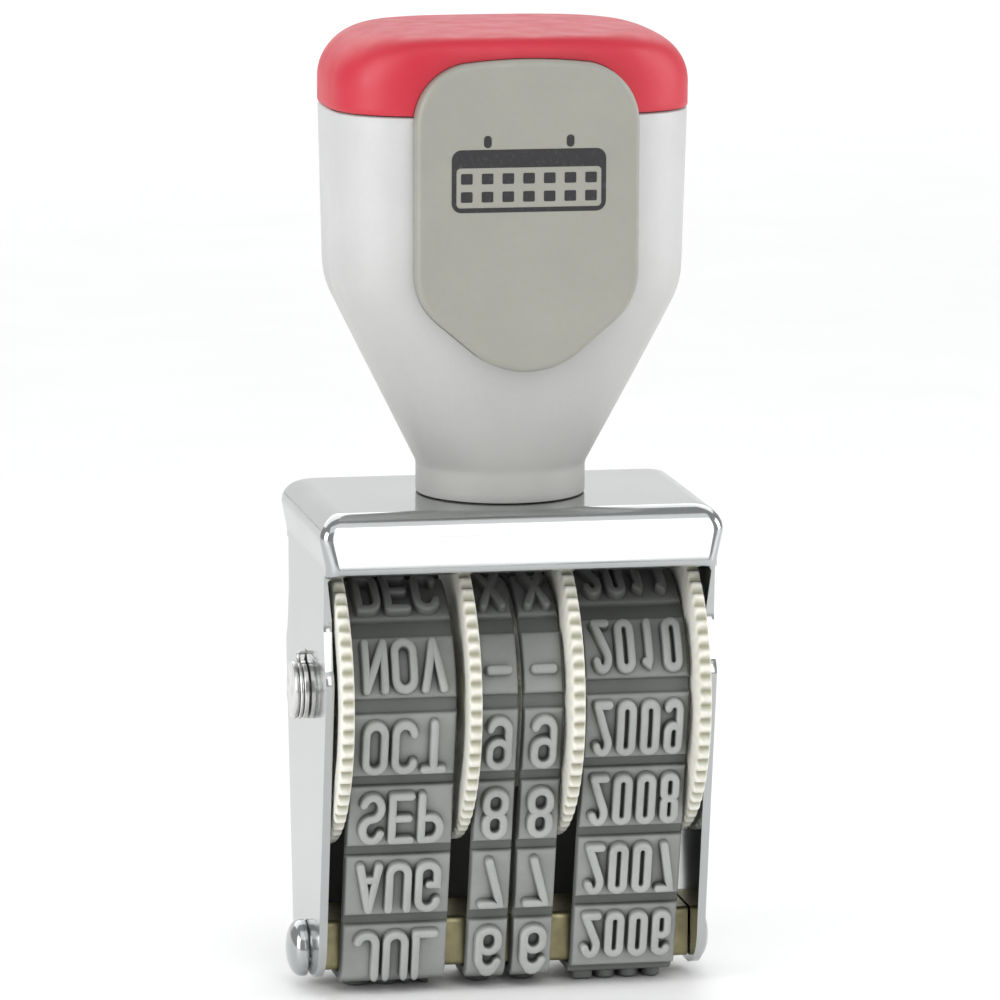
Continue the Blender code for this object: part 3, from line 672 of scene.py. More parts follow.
def make_cap():
    """The coloured cap, with a plug below its seam that closes the handle's hollow."""
    seam, top, face_low = HANDLE_HIGH.z + 0.1, CAP_TOP_Z, CAP_TOP_Z - CAP_FACE_RADIUS
    rim = cap_section(seam + 0.5)
    rings = [superellipse(*CAP_PLUG, z) for z in (CAP_LOW.z, seam)]
    for z, inset in ((seam, 0.16), (seam + 0.03, 0.05), (seam + 0.14, 0.0)):
        shrink_x, shrink_y = 1 - inset / CAP_HIGH.x, 1 - inset / HANDLE_HIGH.y
        rings.append([(x * shrink_x, y * shrink_y, z) for x, y, _ in rim])
    straight_top = top - CAP_END_RADIUS
    rings += [cap_section(z) for z in np.linspace(seam + 0.5, straight_top, 3)]
    rings += [cap_section(z) for z in np.linspace(straight_top + 0.2, face_low, 10)]
    rings += [cap_section(top - CAP_FACE_RADIUS * (1 - sin(a))) for a in np.linspace(0.15, pi / 2, 12)]
    rings += [cap_section(top, scale) for scale in (0.985, 0.96, 0.9, 0.75, 0.5, 0.2)]
    cap = lofted("handle_lid", rings, CAP_PLASTIC)
    cut_pockets(cap)
    place(cap, "cap_plastic", "handle_cap")


def shield(margin):
    """The plaque's outline in X and Z, grown by a margin, going anticlockwise from its tip."""
    half, top, radius = PLAQUE_HIGH.x, PLAQUE_HIGH.z, PLAQUE_TIP_RADIUS
    span = radians(PLAQUE_TIP_SPAN)
    tip_z = PLAQUE_LOW.z + radius
    tip = arc(0, tip_z, radius, -90, PLAQUE_TIP_SPAN - 90, 14)
    low_end = (radius * sin(span), tip_z - radius * cos(span))
    shoulder_z = low_end[1] + (half - low_end[0]) * sin(span) / cos(span)
    corner = arc(half - PLAQUE_CORNER, PLAQUE_CORNER_Z, PLAQUE_CORNER, 0, 78, 14)
    points = tip[:-1] + fillet([low_end, (half, shoulder_z), corner[0]], PLAQUE_SHOULDER_RADIUS, 8)
    points += corner[1:]
    crown_u, crown_v = corner[-1]
    points += [(crown_u * share, top - (top - crown_v) * share**2) for share in (0.75, 0.5, 0.25)]
    return offset_line(mirrored(points + [(0, top)]), -margin, True)


def cut_pockets(obj):
    """Cuts the seats of both plaques, a little larger than the plaques."""
    for side in (-1, 1):
        rings = []
        for y in (PLAQUE_HIGH.y + 0.05, PLAQUE_LOW.y - 2):
            rings.append([(u, -side * y, v) for u, v in shield(POCKET_GAP)])
        cut(obj, lofted("pocket_cutter", rings, BODY_PLASTIC))


def make_plaque(name, side, node):
    """A shield-shaped insert with a rounded rim and a faintly crowned face."""
    seat, face = -PLAQUE_HIGH.y, -PLAQUE_LOW.y
    depth = PLAQUE_RIM_DEPTH
    levels = [(seat, -0.1), (seat + 0.1, 0.0), (face - depth, 0.0)]
    for angle in np.linspace(0.25, pi / 2, 6):
        levels.append((face - depth * (1 - sin(angle)), -PLAQUE_RIM * (1 - cos(angle))))
    levels.append((face - 0.03, -PLAQUE_RIM - 0.12))
    rings = [[(u, side * y, v) for u, v in shield(margin)] for y, margin in levels]
    place(lofted(name, rings, PLAQUE_PLASTIC, 50), "plaque_plastic", node)


def make_pictogram():
    """A generic calendar sheet printed on the front plaque: frame, heading, binder rings and days."""
    middle_z, half_width, half_height = 60.6, 5.6, 2.25
    line, heading, columns, rows = 0.34, 1.3, 7, 2
    back, front = PLAQUE_LOW.y + 0.06, PLAQUE_LOW.y + 0.012
    low_v, high_v = middle_z - half_height, middle_z + half_height
    window_top = high_v - heading
    window = rectangle(-half_width + line, low_v + line, half_width - line, window_top, 0.3)
    shapes = [[rectangle(-half_width, low_v, half_width, high_v, 0.7), window[::-1]]]
    for u in (-3.0, 3.0):
        shapes.append([rectangle(u - 0.28, high_v + 0.12, u + 0.28, high_v + 1.0, 0.27)])
    column_pitch = 2 * (half_width - line) / columns
    row_pitch = (window_top - low_v - line) / (rows + 0.2)
    for column in range(columns):
        for row in range(rows):
            u = (column - (columns - 1) / 2) * column_pitch
            v = low_v + line + row_pitch * (row + 0.6)
            shapes.append([rectangle(u - 0.42, v - 0.38, u + 0.42, v + 0.38, 0.1)])
    for index, outlines in enumerate(shapes):
        mark = extruded(f"calendar_mark_{index:02d}", outlines, front, back, False, INK)
        place(mark, "plaque_plastic")


# ---- frame


def hood_ring(z, inset, curl, flare):
    """A rounded rectangle round the frame's hood; the curl draws only its front and back in."""
    half_x, half_y = FRAME_HIGH.x + flare - inset, HOOD_HALF_DEPTH - inset
    points = []
    for sign_x, sign_y, start in ((1, -1, -90), (1, 1, 0), (-1, 1, 90), (-1, -1, 180)):
        centre_x, centre_y = sign_x * (half_x - HOOD_CORNER), sign_y * (half_y - HOOD_CORNER)
        for x, y in arc(centre_x, centre_y, HOOD_CORNER, start, start + 90, 8):
            outward = (y - centre_y) / HOOD_CORNER
            points.append((x, y - curl * outward * abs(outward), z))
    return points


def side_plate_outline():
    """Half of a side plate's edge below the hood, as (y, z) from the apron's bottom to the foot."""
    waist = [(WAIST_HALF_DEPTH, APRON_BOTTOM_Z), (WAIST_HALF_DEPTH - 0.2, WAIST_Z)]
    shoulder = arc(SHOULDER_HALF_DEPTH - SHOULDER_RADIUS, SHOULDER_Z, SHOULDER_RADIUS, 52, -8, 10)
    foot_y, foot_z = FOOT_HALF_DEPTH - FOOT_RADIUS - 0.2, FRAME_LOW.z + FOOT_RADIUS
    foot = arc(foot_y, foot_z, FOOT_RADIUS, -8, -90, 14)
    return fillet(waist + shoulder[:1], 3.0, 8) + shoulder[1:] + [(FOOT_HALF_DEPTH, FOOT_Z)] + foot


def make_frame():
    """The folded sheet: a pressed hood with aprons, whose ends run down as side plates."""
    builder = Builder()
    top = FRAME_HIGH.z
    bend_low, apron_low = top - BEND_RADIUS, APRON_BOTTOM_Z + APRON_CURL
    levels = []
    for angle in quarter_turn(14):
        drop, inset = BEND_RADIUS * (1 - cos(angle)), BEND_RADIUS * (1 - sin(angle))
        levels.append((top - drop, inset, 0.0, HOOD_FLARE))
    for share in (0.25, 0.5, 0.75):
        z = bend_low + (apron_low - bend_low) * share
        levels.append((z, 0.0, -APRON_LEAN * share, HOOD_FLARE * (1 - share)))
    for angle in quarter_turn(6):
        inward = APRON_CURL * (1 - cos(angle)) - APRON_LEAN
        levels.append((apron_low - APRON_CURL * sin(angle), 0.0, inward, 0.0))
    rings = [builder.add(hood_ring(*level)) for level in levels]
    for upper, lower in zip(rings, rings[1:]):
        builder.ring_strip(lower, upper)
    hole = builder.add([(x, y, top) for x, y in arc(0, 0, SCREW_HOLE_RADIUS, *HOLE_ARC)])
    fill(builder, [rings[0], hole], (0, 1))
    for side in (1, -1):
        add_side_plate(builder, side, rings[-1])
    sheet = builder.build("steel_frame", CHROME)
    solid = sheet.modifiers.new("Sheet", "SOLIDIFY")
    solid.thickness = SHEET * MM
    solid.offset = -1
    round_edges(sheet, SHEET_EDGE, 60)
    place(sheet, "chromed_steel", "frame")


def add_side_plate(builder, side, hood_rim):
    """One flat side plate, hung from the lowest ring of the hood, with its holes."""
    x = side * FRAME_HIGH.x
    ends = {}
    for index in hood_rim:
        px, py, _ = builder.points[index]
        if abs(px - x) < 1e-6:
            ends[py > 0] = index
    edge = side_plate_outline()
    front = builder.add([(x, -y, z) for y, z in edge])
    back = builder.add([(x, y, z) for y, z in edge])
    tip_z = SLOT_TOP_Z - SLOT_TIP_RISE
    slot = arc(0, AXLE_Z, SLOT_HALF_WIDTH, 180, 360, 20) + [(SLOT_HALF_WIDTH, tip_z)]
    slot += arc(0, SLOT_TOP_Z - SLOT_TIP_RADIUS, SLOT_TIP_RADIUS, 0, 180, 10)
    slot += [(-SLOT_HALF_WIDTH, tip_z)]
    rivet = arc(0, RIVET_Z, RIVET_HOLE_RADIUS, *HOLE_ARC)
    holes = [builder.add([(x, y, z) for y, z in shape]) for shape in (slot, rivet)]
    fill(builder, [[ends[True], *back, *front[::-1], ends[False]], *holes], (1, 2))


# ---- axle and rivets


def head_profile(inner, outer):
    """Half profile of a grooved head between two places along X, closed at its outer face."""
    half_groove = GROOVE_HALF_WIDTH if outer > inner else -GROOVE_HALF_WIDTH
    middle = (inner + outer) / 2
    corners = [(HEAD_RADIUS, inner)]
    corners += [(radius, middle - half_groove) for radius in (HEAD_RADIUS, GROOVE_RADIUS)]
    corners += [(radius, middle + half_groove) for radius in (GROOVE_RADIUS, HEAD_RADIUS)]
    return fillet(corners + [(HEAD_RADIUS, outer), (ON_AXIS, outer)], 0.12, 4)


def make_axle():
    """The shaft with its left head, and the right end cap, into whose bore the shaft reaches."""
    face = FRAME_HIGH.x + HEAD_GAP
    shaft_end, bore_end = face + HEAD_LENGTH * 0.7, face + HEAD_LENGTH * 0.74
    shaft = [(ON_AXIS, shaft_end), (SHAFT_RADIUS - 0.1, shaft_end)]
    shaft += [(SHAFT_RADIUS, shaft_end - 0.1), (SHAFT_RADIUS, -face)]
    head = head_profile(-face, -face - HEAD_LENGTH)
    place(turned("axle_shaft", shaft + head, AXLE_Z, STEEL), "steel", "wheel_axle")
    bore = [(ON_AXIS, bore_end), (SHAFT_RADIUS + 0.05, bore_end), (SHAFT_RADIUS + 0.05, face)]
    cap = turned("axle_right_cap", bore + head_profile(face, face + HEAD_LENGTH), AXLE_Z, STEEL)
    place(cap, "steel", "axle_end_cap")


def make_clip(name, side, node):
    """A spring wire that wraps the head's groove and hooks into the slot above the axle."""
    groove_x = side * (FRAME_HIGH.x + HEAD_GAP + HEAD_LENGTH / 2)
    radius = GROOVE_RADIUS + WIRE_RADIUS + 0.02
    tail_z = AXLE_Z + TAIL_RISE
    points = [
        (side * (FRAME_HIGH.x - SHEET * 0.6), 0.0, tail_z),
        (side * (FRAME_HIGH.x + 0.1), 0.0, tail_z),
        (groove_x - side * 0.12, 0.0, tail_z - 0.02),
        (groove_x, -0.04, tail_z - 0.18),
        (groove_x, -0.22, AXLE_Z + radius + 0.2),
    ]
    points += [(groove_x, y, z) for y, z in arc(0, AXLE_Z, radius, 105, 357, 18)]
    place(wire(name, points, WIRE_RADIUS, STEEL), "steel", node)


def make_rivet(name, side, node):
    """A domed rivet with a faint flange, seated on the side plate."""
    low, high = node_box(node)
    seat = FRAME_HIGH.x + 0.05
    inner, outer = sorted((abs(low.x), abs(high.x)))
    radius, shank, rim = high.z - RIVET_Z, 0.8, 0.28
    profile = []
    for angle in quarter_turn(14)[:-1]:
        height = (outer - seat - rim) * cos(angle) ** 0.8
        profile.append((max(radius * sin(angle), ON_AXIS), seat + rim + height))
    profile += [(radius, seat + rim), (radius, seat + 0.1), (radius - 0.08, seat), (shank, seat)]
    profile += [(shank, inner + 0.1), (shank - 0.1, inner), (ON_AXIS, inner)]
    rivet = turned(name, [(r, side * x) for r, x in profile], RIVET_Z, CHROME)
    place(rivet, "chromed_steel", node)


def make_platen():
    """The brass bar that the bands run round, with its long edges rounded."""
    half = PLATEN_HIGH.y
    outline = rectangle(-half, PLATEN_LOW.z, half, PLATEN_HIGH.z, 0.5, 8)
    bar = extruded("brass_platen", [outline], PLATEN_LOW.x, PLATEN_HIGH.x, True, BRASS)
    round_edges(bar, 0.12)
    place(bar, "brass", "platen_bar")


def make_screw():
    """The screw that holds the handle, with a hollow in its head, and its washer under the hood."""
    low, high = node_box("handle_screw")
    head_radius, root, crest, pitch = 2.3, 1.02, 1.22, 0.5
    head_top = low.z + 1.3
    profile = [(ON_AXIS, low.z + 0.55), (0.5, low.z + 0.5), (0.9, low.z), (1.4, low.z)]
    profile += [(head_radius, head_top - 0.6), (head_radius, head_top), (1.15, head_top)]
    for turn in range(int((high.z - head_top - 1.2) / pitch)):
        z = head_top + 0.3 + turn * pitch
        profile += [(root, z), (crest, z + pitch / 2)]
    profile += [(1.1, high.z - 0.9), (0.75, high.z - 0.1), (ON_AXIS, high.z)]
    place(upright("cross_head_screw", profile, 48), "steel", "handle_screw")
    low, high = node_box("screw_washer")
    hole, rim = 1.36, 3.2
    ring = [(hole, low.z), (rim, low.z), (rim, high.z), (hole, high.z), (hole, low.z)]
    washer = upright("flat_washer", ring, 64, capped=False)
    round_edges(washer, 0.08)
    place(washer, "steel", "screw_washer")


def upright(name, profile, sides, capped=True):
    """A steel piece turned about the Z axis, from a profile of (radius, z) pairs."""
    obj = lofted(name, turned_rings([(r, -z) for r, z in profile], sides, 0), STEEL, capped=capped)
    obj.data.transform(Matrix.Rotation(pi / 2, 4, "Y"))
    return obj


# ---- wheels


def tooth_depth(step):
    """Depth below the rim at one of the points round it: rounded beads with open valleys."""
    share = (step % POINTS_PER_TOOTH) / POINTS_PER_TOOTH
    return TOOTH_DEPTH * (0.5 + 0.5 * cos(2 * pi * share)) ** 1.3


def make_wheel(name, node, band_node, body):
    """A drum and its thumb disc, whose rim is cut into rounded teeth."""
    low, high = node_box(node)
    disc_on_left = low.x < node_box(band_node)[0].x
    toward, flank = (1, low.x) if disc_on_left else (-1, high.x)
    length = high.x - low.x
    rim = high.z - AXLE_Z
    count = TOOTH_COUNT * POINTS_PER_TOOTH
    valleys = [tooth_depth(step) for step in range(count)]
    # Radius and depth of each ring, from the bore round the disc and the drum. The rings of the rim
    # have a third value, which is their share of the teeth's depth.
    web = [(BORE_RADIUS, 0.0), (HUB_RADIUS, 0.0), (HUB_RADIUS + 0.15, WEB_DEPTH)]
    web += [(rim - 2.3, WEB_DEPTH), (rim - 2.1, 0.02), (rim - 0.62, 0.0), (rim - 0.45, 0.02)]
    teeth = [(rim - 0.16, 0.08, 0.6), (rim, 0.2, 1.0)]
    teeth += [(radius, DISC_WIDTH - depth, share) for radius, depth, share in teeth[::-1]]
    drum = [(rim - 0.5, DISC_WIDTH), (DRUM_RADIUS, DISC_WIDTH), (DRUM_RADIUS, length - 0.1)]
    drum += [(DRUM_RADIUS - 0.1, length), (BORE_RADIUS, length)]
    builder = Builder()
    rings = []
    for radius, depth, *share in web + teeth + drum:
        toothed = sum(share)
        points, relief_share = [], []
        for step, valley in enumerate(valleys):
            angle = 2 * pi * step / count
            r = radius - toothed * valley
            points.append((flank + toward * depth, r * cos(angle), AXLE_Z + r * sin(angle)))
            # Relief falls in the teeth's valleys, where the wheel plastic paints shade.
            relief_share.append(1.0 - (toothed * valley / TOOTH_DEPTH) ** 0.8)
        rings.append(builder.add(points, relief_share))
    builder.strips(rings + rings[:1])
    place(builder.build(name, WHEEL_PLASTIC, 45), "wheel_plastic", node, body=body)


# ---- bands


# A band's closed route in the YZ plane starts at the middle of the platen's flat and goes forward
# (-Y), up the front, over the drum and down the back. Its lengths are those of the base's middle.
CORNER_Z = BAND_THICKNESS + PLATEN_CORNER_RADIUS
RISE = AXLE_Z - CORNER_Z
SPAN = hypot(RISE, PLATEN_FLAT_HALF)
RADIUS_GROWTH = BAND_INNER_RADIUS - PLATEN_CORNER_RADIUS
TAPER = asin(RADIUS_GROWTH / SPAN) - atan2(PLATEN_FLAT_HALF, RISE)
STRAIGHT = sqrt(SPAN**2 - RADIUS_GROWTH**2)
CORNER = (pi / 2 - TAPER) * (PLATEN_CORNER_RADIUS + BAND_BASE / 2)
WRAP = (pi + 2 * TAPER) * (BAND_INNER_RADIUS + BAND_BASE / 2)
HALF_ROUTE = PLATEN_FLAT_HALF + CORNER + STRAIGHT + WRAP / 2
ROUTE = 2 * HALF_ROUTE
JOINT_LENGTH = ROUTE - LEGEND_COUNT * ROW_PITCH


def route_point(distance, offset):
    """(y, z) at a distance along the route and an offset outward from the band's inner face."""
    distance %= ROUTE
    if distance > HALF_ROUTE:
        y, z = route_point(ROUTE - distance, offset)
        return -y, z
    if distance <= PLATEN_FLAT_HALF:
        return -distance, BAND_THICKNESS - offset
    distance -= PLATEN_FLAT_HALF
    radius = PLATEN_CORNER_RADIUS + offset
    if distance <= CORNER:
        angle = distance / CORNER * (pi / 2 - TAPER)
        return -PLATEN_FLAT_HALF - radius * sin(angle), CORNER_Z - radius * cos(angle)
    distance -= CORNER
    if distance <= STRAIGHT:
        y = -PLATEN_FLAT_HALF - radius * cos(TAPER) - distance * sin(TAPER)
        return y, CORNER_Z - radius * sin(TAPER) + distance * cos(TAPER)
    angle = -TAPER + (distance - STRAIGHT) / (BAND_INNER_RADIUS + BAND_BASE / 2)
    radius = BAND_INNER_RADIUS + offset
    return -radius * cos(angle), AXLE_Z + radius * sin(angle)


def row_centre(row):
    return row * ROW_PITCH + (JOINT_LENGTH if row >= ROWS_BEFORE_JOINT else 0)


def row_scale(row):
    """Blocks are stiff: on the drum their outer faces stay short, and the gaps between them open."""
    centre = row_centre(row)
    return DRUM_SHRINK if min(centre, ROUTE - centre) > HALF_ROUTE - WRAP / 2 else 1.0


def type_squeeze(row):
    """(shift, scale) of the type on the two rows that lean on the platen's rounded corners."""
    shifts = {1: CORNER_SHIFT, LEGEND_COUNT - 1: -CORNER_SHIFT}
    return shifts.get(row, 0.0), CORNER_SHRINK if row in shifts else 1.0


class Band(Builder):
    """A moulded band: points are given as (across, along, offset) and bent round the route."""

    def __init__(self, phase):
        super().__init__()
        self.phase = phase

    def bend(self, points, relief):
        return self.add([(u, *route_point(v + self.phase, offset)) for u, v, offset in points], relief)

    def belt(self, low, high):
        """The belt itself, with rounded edges, which runs all the way round."""
        edge = 0.12
        top = BAND_BASE
        section = [(low + edge, 0.0), (high - edge, 0.0), (high, edge), (high, top - edge)]
        section += [(high - edge, top), (low + edge, top), (low, top - edge), (low, edge)]
        rings = []
        for step in range(BELT_STEPS):
            along = ROUTE * step / BELT_STEPS
            # Relief 0: the belt between the pads takes the rubber's painted shade and ink colour.
            rings.append(self.bend([(x, along, offset) for x, offset in section], 0.0))
        self.strips(rings + rings[:1])

    def block(self, low, high, centre, length):
        """A raised pad with drafted sides and softly rounded edges."""
        # How far in from the side, and how much of the pad's height is reached there.
        draft = ((0.0, 0.0), (0.05, 0.62), (0.09, 0.82), (0.15, 0.94), (0.24, 1.0))
        first, last = centre - length / 2, centre + length / 2
        across = [(low + at, rise) for at, rise in draft]
        across += [(high - at, rise) for at, rise in draft[::-1]]
        along = [(first + at * 1.4, rise) for at, rise in draft]
        count = max(3, round(length / 0.5))
        along += [(v, 1.0) for v in np.linspace(first + 0.45, last - 0.45, count)]
        along += [(last - at * 1.4, rise) for at, rise in draft[::-1]]
        foot = BAND_BASE - 0.06
        rows = []
        for v, rise_v in along:
            rises = [min(rise_u, rise_v) for _, rise_u in across]
            row = [(u, v, foot + (PAD_TOP - foot) * rise) for (u, _), rise in zip(across, rises)]
            # Relief falls towards the pad's foot, where the rubber paints shade.
            rows.append(self.bend(row, [0.1 + 0.55 * rise**2 for rise in rises]))
        for first, second in zip(rows, rows[1:]):
            self.ring_strip(first, second, closed=False)
            self.faces.append((first[0], second[0], second[-1], first[-1]))
        self.faces += [tuple(rows[0]), tuple(reversed(rows[-1]))]

    def stroke(self, points, closed, centre_u, centre_v, height):
        """A raised line with drafted sides, rounded shoulders and round ends."""
        # Growth of the line's half width, offset from the band's inner face, relief; low relief at the
        # foot takes the rubber's painted shade.
        levels = [
            (0.11, PAD_TOP - 0.08, 0.15),
            (0.07, PAD_TOP + 0.14, 0.3),
            (0.03, height - 0.2, 0.65),
            (-0.02, height - 0.08, 0.95),
            (-0.1, height - 0.02, 1.0),
            (-0.17, height, 1.0),
        ]
        rings = []
        for growth, offset, relief_share in levels:
            width = STROKE_HALF_WIDTH + growth
            if closed:
                loops = [offset_line(points, width, True), offset_line(points, -width, True)]
            else:
                loops = [stadium(points, width)]
            rings.append([])
            for loop in loops:
                bent = [(centre_u + x, centre_v - y, offset) for x, y in loop]
                rings[-1].append(self.bend(bent, relief_share))
        for lower, upper in zip(rings, rings[1:]):
            for first, second in zip(lower, upper):
                self.ring_strip(first, second)
        for level in (rings[0], rings[-1]):
            if closed:
                self.ring_strip(*level)
            else:
                self.cap_stadium(level[0], len(points))

    def cap_stadium(self, loop, count):
        """Fills a stadium: a ladder between its two sides and one face at each end."""
        steps = STROKE_CAP_STEPS
        right = loop[count + steps - 1 : 2 * count + steps - 1][::-1]
        self.ring_strip(loop[:count], right, closed=False)
        self.faces.append(tuple(loop[count - 1 : count + steps]))
        self.faces.append(tuple(loop[2 * count + steps - 2 :] + loop[:1]))


def line_normals(points, closed):
    """The left-hand normal at each point, lengthened at bends so that a line keeps its width."""
    line = points[-1:] + points + points[:1] if closed else points
    turns = []
    for first, second in zip(line, line[1:]):
        direction = Vector((second[0] - first[0], second[1] - first[1])).normalized()
        turns.append(Vector((-direction.y, direction.x)))
    if not closed:
        turns = turns[:1] + turns + turns[-1:]
    means = [(before + after) / 2 for before, after in zip(turns, turns[1:])]
    return [mean / max(mean.length_squared, 0.5) for mean in means]


def offset_line(points, distance, closed):
    normals = line_normals(points, closed)
    return [(x + n.x * distance, y + n.y * distance) for (x, y), n in zip(points, normals)]


def stadium(points, width):
    """The closed outline at a distance round an open line."""
    normals = line_normals(points, False)
    caps = []
    for (x, y), normal, sign in ((points[-1], normals[-1], 1), (points[0], normals[0], -1)):
        start = atan2(sign * normal.y, sign * normal.x)
        angles = [start - pi * step / STROKE_CAP_STEPS for step in range(1, STROKE_CAP_STEPS)]
        caps.append([(x + width * cos(angle), y + width * sin(angle)) for angle in angles])
    left, right = offset_line(points, width, False), offset_line(points, -width, False)
    return left + caps[0] + right[::-1] + caps[1]


# ---- characters


def bow(centre_v, a, b, start, end):
    """Part of an ellipse on a character's middle line, with its angles in degrees."""
    return arc(0, centre_v, a, start, end, max(4, round(abs(end - start) / 20)), b)


def run(*corners):
    """A line through corners, divided finely enough to bend round the drum."""
    points = [corners[0]]
    for (u, v), (to_u, to_v) in zip(corners, corners[1:]):
        count = max(1, round(hypot(to_u - u, to_v - v) / 0.55))
        for step in range(1, count + 1):
            share = step / count
            points.append((u + (to_u - u) * share, v + (to_v - v) * share))
    return points


def join(*parts):
    """One line through parts, each a list of points, without the doubled ends."""
    points = list(parts[0])
    for part in parts[1:]:
        doubled = hypot(part[0][0] - points[-1][0], part[0][1] - points[-1][1]) < 0.02
        points += part[1:] if doubled else part
    return points


def loop(low, high, a):
    """A closed loop with straight sides between two heights."""
    right = run((a, low + a), (a, high - a))
    left = run((-a, high - a), (-a, low + a))
    return join(right, bow(high - a, a, a, 0, 180), left, bow(low + a, a, a, 180, 360))[:-1]


def glyph(character, a, b):
    """Strokes of a character as (points, closed), in a box of half width a and half height b."""

    def line(*shares):
        """A line through corners given as u, v, u, v and so on, in shares of the box."""
        return run(*[(a * u, b * v) for u, v in zip(shares[::2], shares[1::2])])

    left, right, arm = line(-1, -1, -1, 1), line(1, -1, 1, 1), line(-1, 0, 0.8, 0)
    top, bottom = line(-1, 1, 1, 1), line(-1, -1, 1, -1)
    start, end = line(-1, 1, 0, 1), line(0, -1, -1, -1)
    left_side, right_side = run((-a, b - a), (-a, a - b)), run((a, b - a), (a, a - b))
    upper = join(start, bow(b / 2, a, b / 2, 90, -90), line(0, 0, -1, 0))
    lower = join(line(-1, 0, 0, 0), bow(-b / 2, a, b / 2, 90, -90), end)
    belly = join(start, bow(b - a, a, a, 90, 0), right_side, bow(a - b, a, a, 0, -90), end)
    open_ring = join(bow(b - a, a, a, 5, 180), left_side, bow(a - b, a, a, 180, 355))
    hook = join(bow(b - 1.6 * a, a, 1.6 * a, 165, -30), run((0.82 * a, b - 2.5 * a), (-a, -b)))
    cup = join(run((-a, b), (-a, a - b)), bow(a - b, a, a, 180, 360), run((a, a - b), (a, b)))
    bowl = min(a, b / 2)
    lines = {
        "A": [line(-1, -1, 0, 1), line(0, 1, 1, -1), line(-0.6, -0.4, 0.6, -0.4)],
        "B": [left, upper, lower],
        "C": [open_ring],
        "D": [left, belly],
        "E": [left, top, arm, bottom],
        "F": [left, top, arm],
        "G": [join(open_ring, run((a, a - b), (a, -0.1 * b), (0.15 * a, -0.1 * b)))],
        "J": [join(run((a, b), (a, a - b)), bow(a - b, a, a, 0, -165))],
        "L": [left, bottom],
        "M": [left, line(-1, 1, 0, -0.1), line(0, -0.1, 1, 1), right],
        "N": [left, line(-1, 1, 1, -1), right],
        "P": [left, upper],
        "R": [left, upper, line(0, 0, 1, -1)],
        "S": [join(bow(b / 2, a, b / 2, 20, 270), bow(-b / 2, a, b / 2, 90, -160))],
        "T": [top, line(0, 1, 0, -1)],
        "U": [cup],
        "V": [line(-1, 1, 0, -1), line(0, -1, 1, 1)],
        "X": [line(-1, 1, 1, -1), line(-1, -1, 1, 1)],
        "Y": [line(-1, 1, 0, 0), line(1, 1, 0, 0), line(0, 0, 0, -1)],
        "1": [line(0, -1, 0, 1, -0.6, 0.72)],
        "2": [hook, bottom],
        "3": [join(bow(b / 2, a, b / 2, 155, -90), bow(-b / 2, a, b / 2, 90, -155))],
        "4": [line(0.4, -1, 0.4, 1, -1, -0.4, 1, -0.4)],
        "5": [join(line(1, 1, -1, 1, -1, 0.1), bow(-0.4 * b, a, 0.6 * b, 110, -150))],
        "6": [join(bow(b - a, a, a, 15, 180), left_side)],
        "7": [line(-1, 1, 1, 1, -0.35, -1)],
        "9": [join(bow(a - b, a, a, -165, 0), run((a, a - b), (a, b - a)))],
        "-": [line(-1, 0.35, 1, 0.35)],
    }
    loops = {
        "O": [loop(-b, b, a)],
        "0": [loop(-b, b, a)],
        "6": [loop(-b, 0.12 * b, bowl)],
        "8": [loop(0, b, min(0.92 * a, b / 2)), loop(-b, 0, bowl)],
        "9": [loop(-0.12 * b, b, bowl)],
    }
    open_strokes = [(points, False) for points in lines.get(character, [])]
    return open_strokes + [(points, True) for points in loops.get(character, [])]


MONTHS = "JUN JUL AUG SEP OCT NOV DEC JAN FEB MAR APR MAY".split()
DAYS = list("56789-X01234")
YEARS = [str(2005 + row) for row in range(ROWS_BEFORE_JOINT)]
YEARS += [str(2000 + row) for row in range(LEGEND_COUNT - ROWS_BEFORE_JOINT)]


def make_band(name, node, legends, advance, glyph_half_width, phase):
    """A band with its belt, pads and raised type; the phase is how far it has been wound on."""
    low, high = node_box(node)
    middle = (low.x + high.x) / 2
    band = Band(phase)
    band.belt(low.x, high.x)
    pads = [(row_centre(row), BLOCK_LENGTH * row_scale(row)) for row in range(LEGEND_COUNT)]
    blank_centre = (ROWS_BEFORE_JOINT - 0.5) * ROW_PITCH + JOINT_LENGTH / 2
    pads.append((blank_centre, JOINT_LENGTH - (ROW_PITCH - BLOCK_LENGTH)))
    for centre, length in pads:
        band.block(low.x + PAD_INSET, high.x - PAD_INSET, centre, length)
    strokes = 0
    for row, legend in enumerate(legends):
        shift, squeeze = type_squeeze(row)
        half_height = TYPE_HEIGHT / 2 * row_scale(row) * squeeze - STROKE_HALF_WIDTH
        for index, character in enumerate(legend):
            u = middle + (index - (len(legend) - 1) / 2) * advance
            for points, closed in glyph(character, glyph_half_width, half_height):
                # Crossing strokes differ by a hair, so that no two faces share a plane.
                height = BAND_THICKNESS - 0.03 - 0.004 * (strokes % 4)
                strokes += 1
                band.stroke(points, closed, u, row_centre(row) + shift, height)
    place(band.build(name, RUBBER, 40), "band_rubber", node)


# ---- stage

CAMERA_DISTANCE = 500.0
CAMERA_LENS = 245.7
CAMERA_TURN = (11.13, 9.81, 0.29)  # yaw, pitch and roll
CAMERA_AIM = Vector((0.01, 0.0, 35.78))
FLOOR_HALF = 3000
LIGHT_AIM = (0, 0, 38)


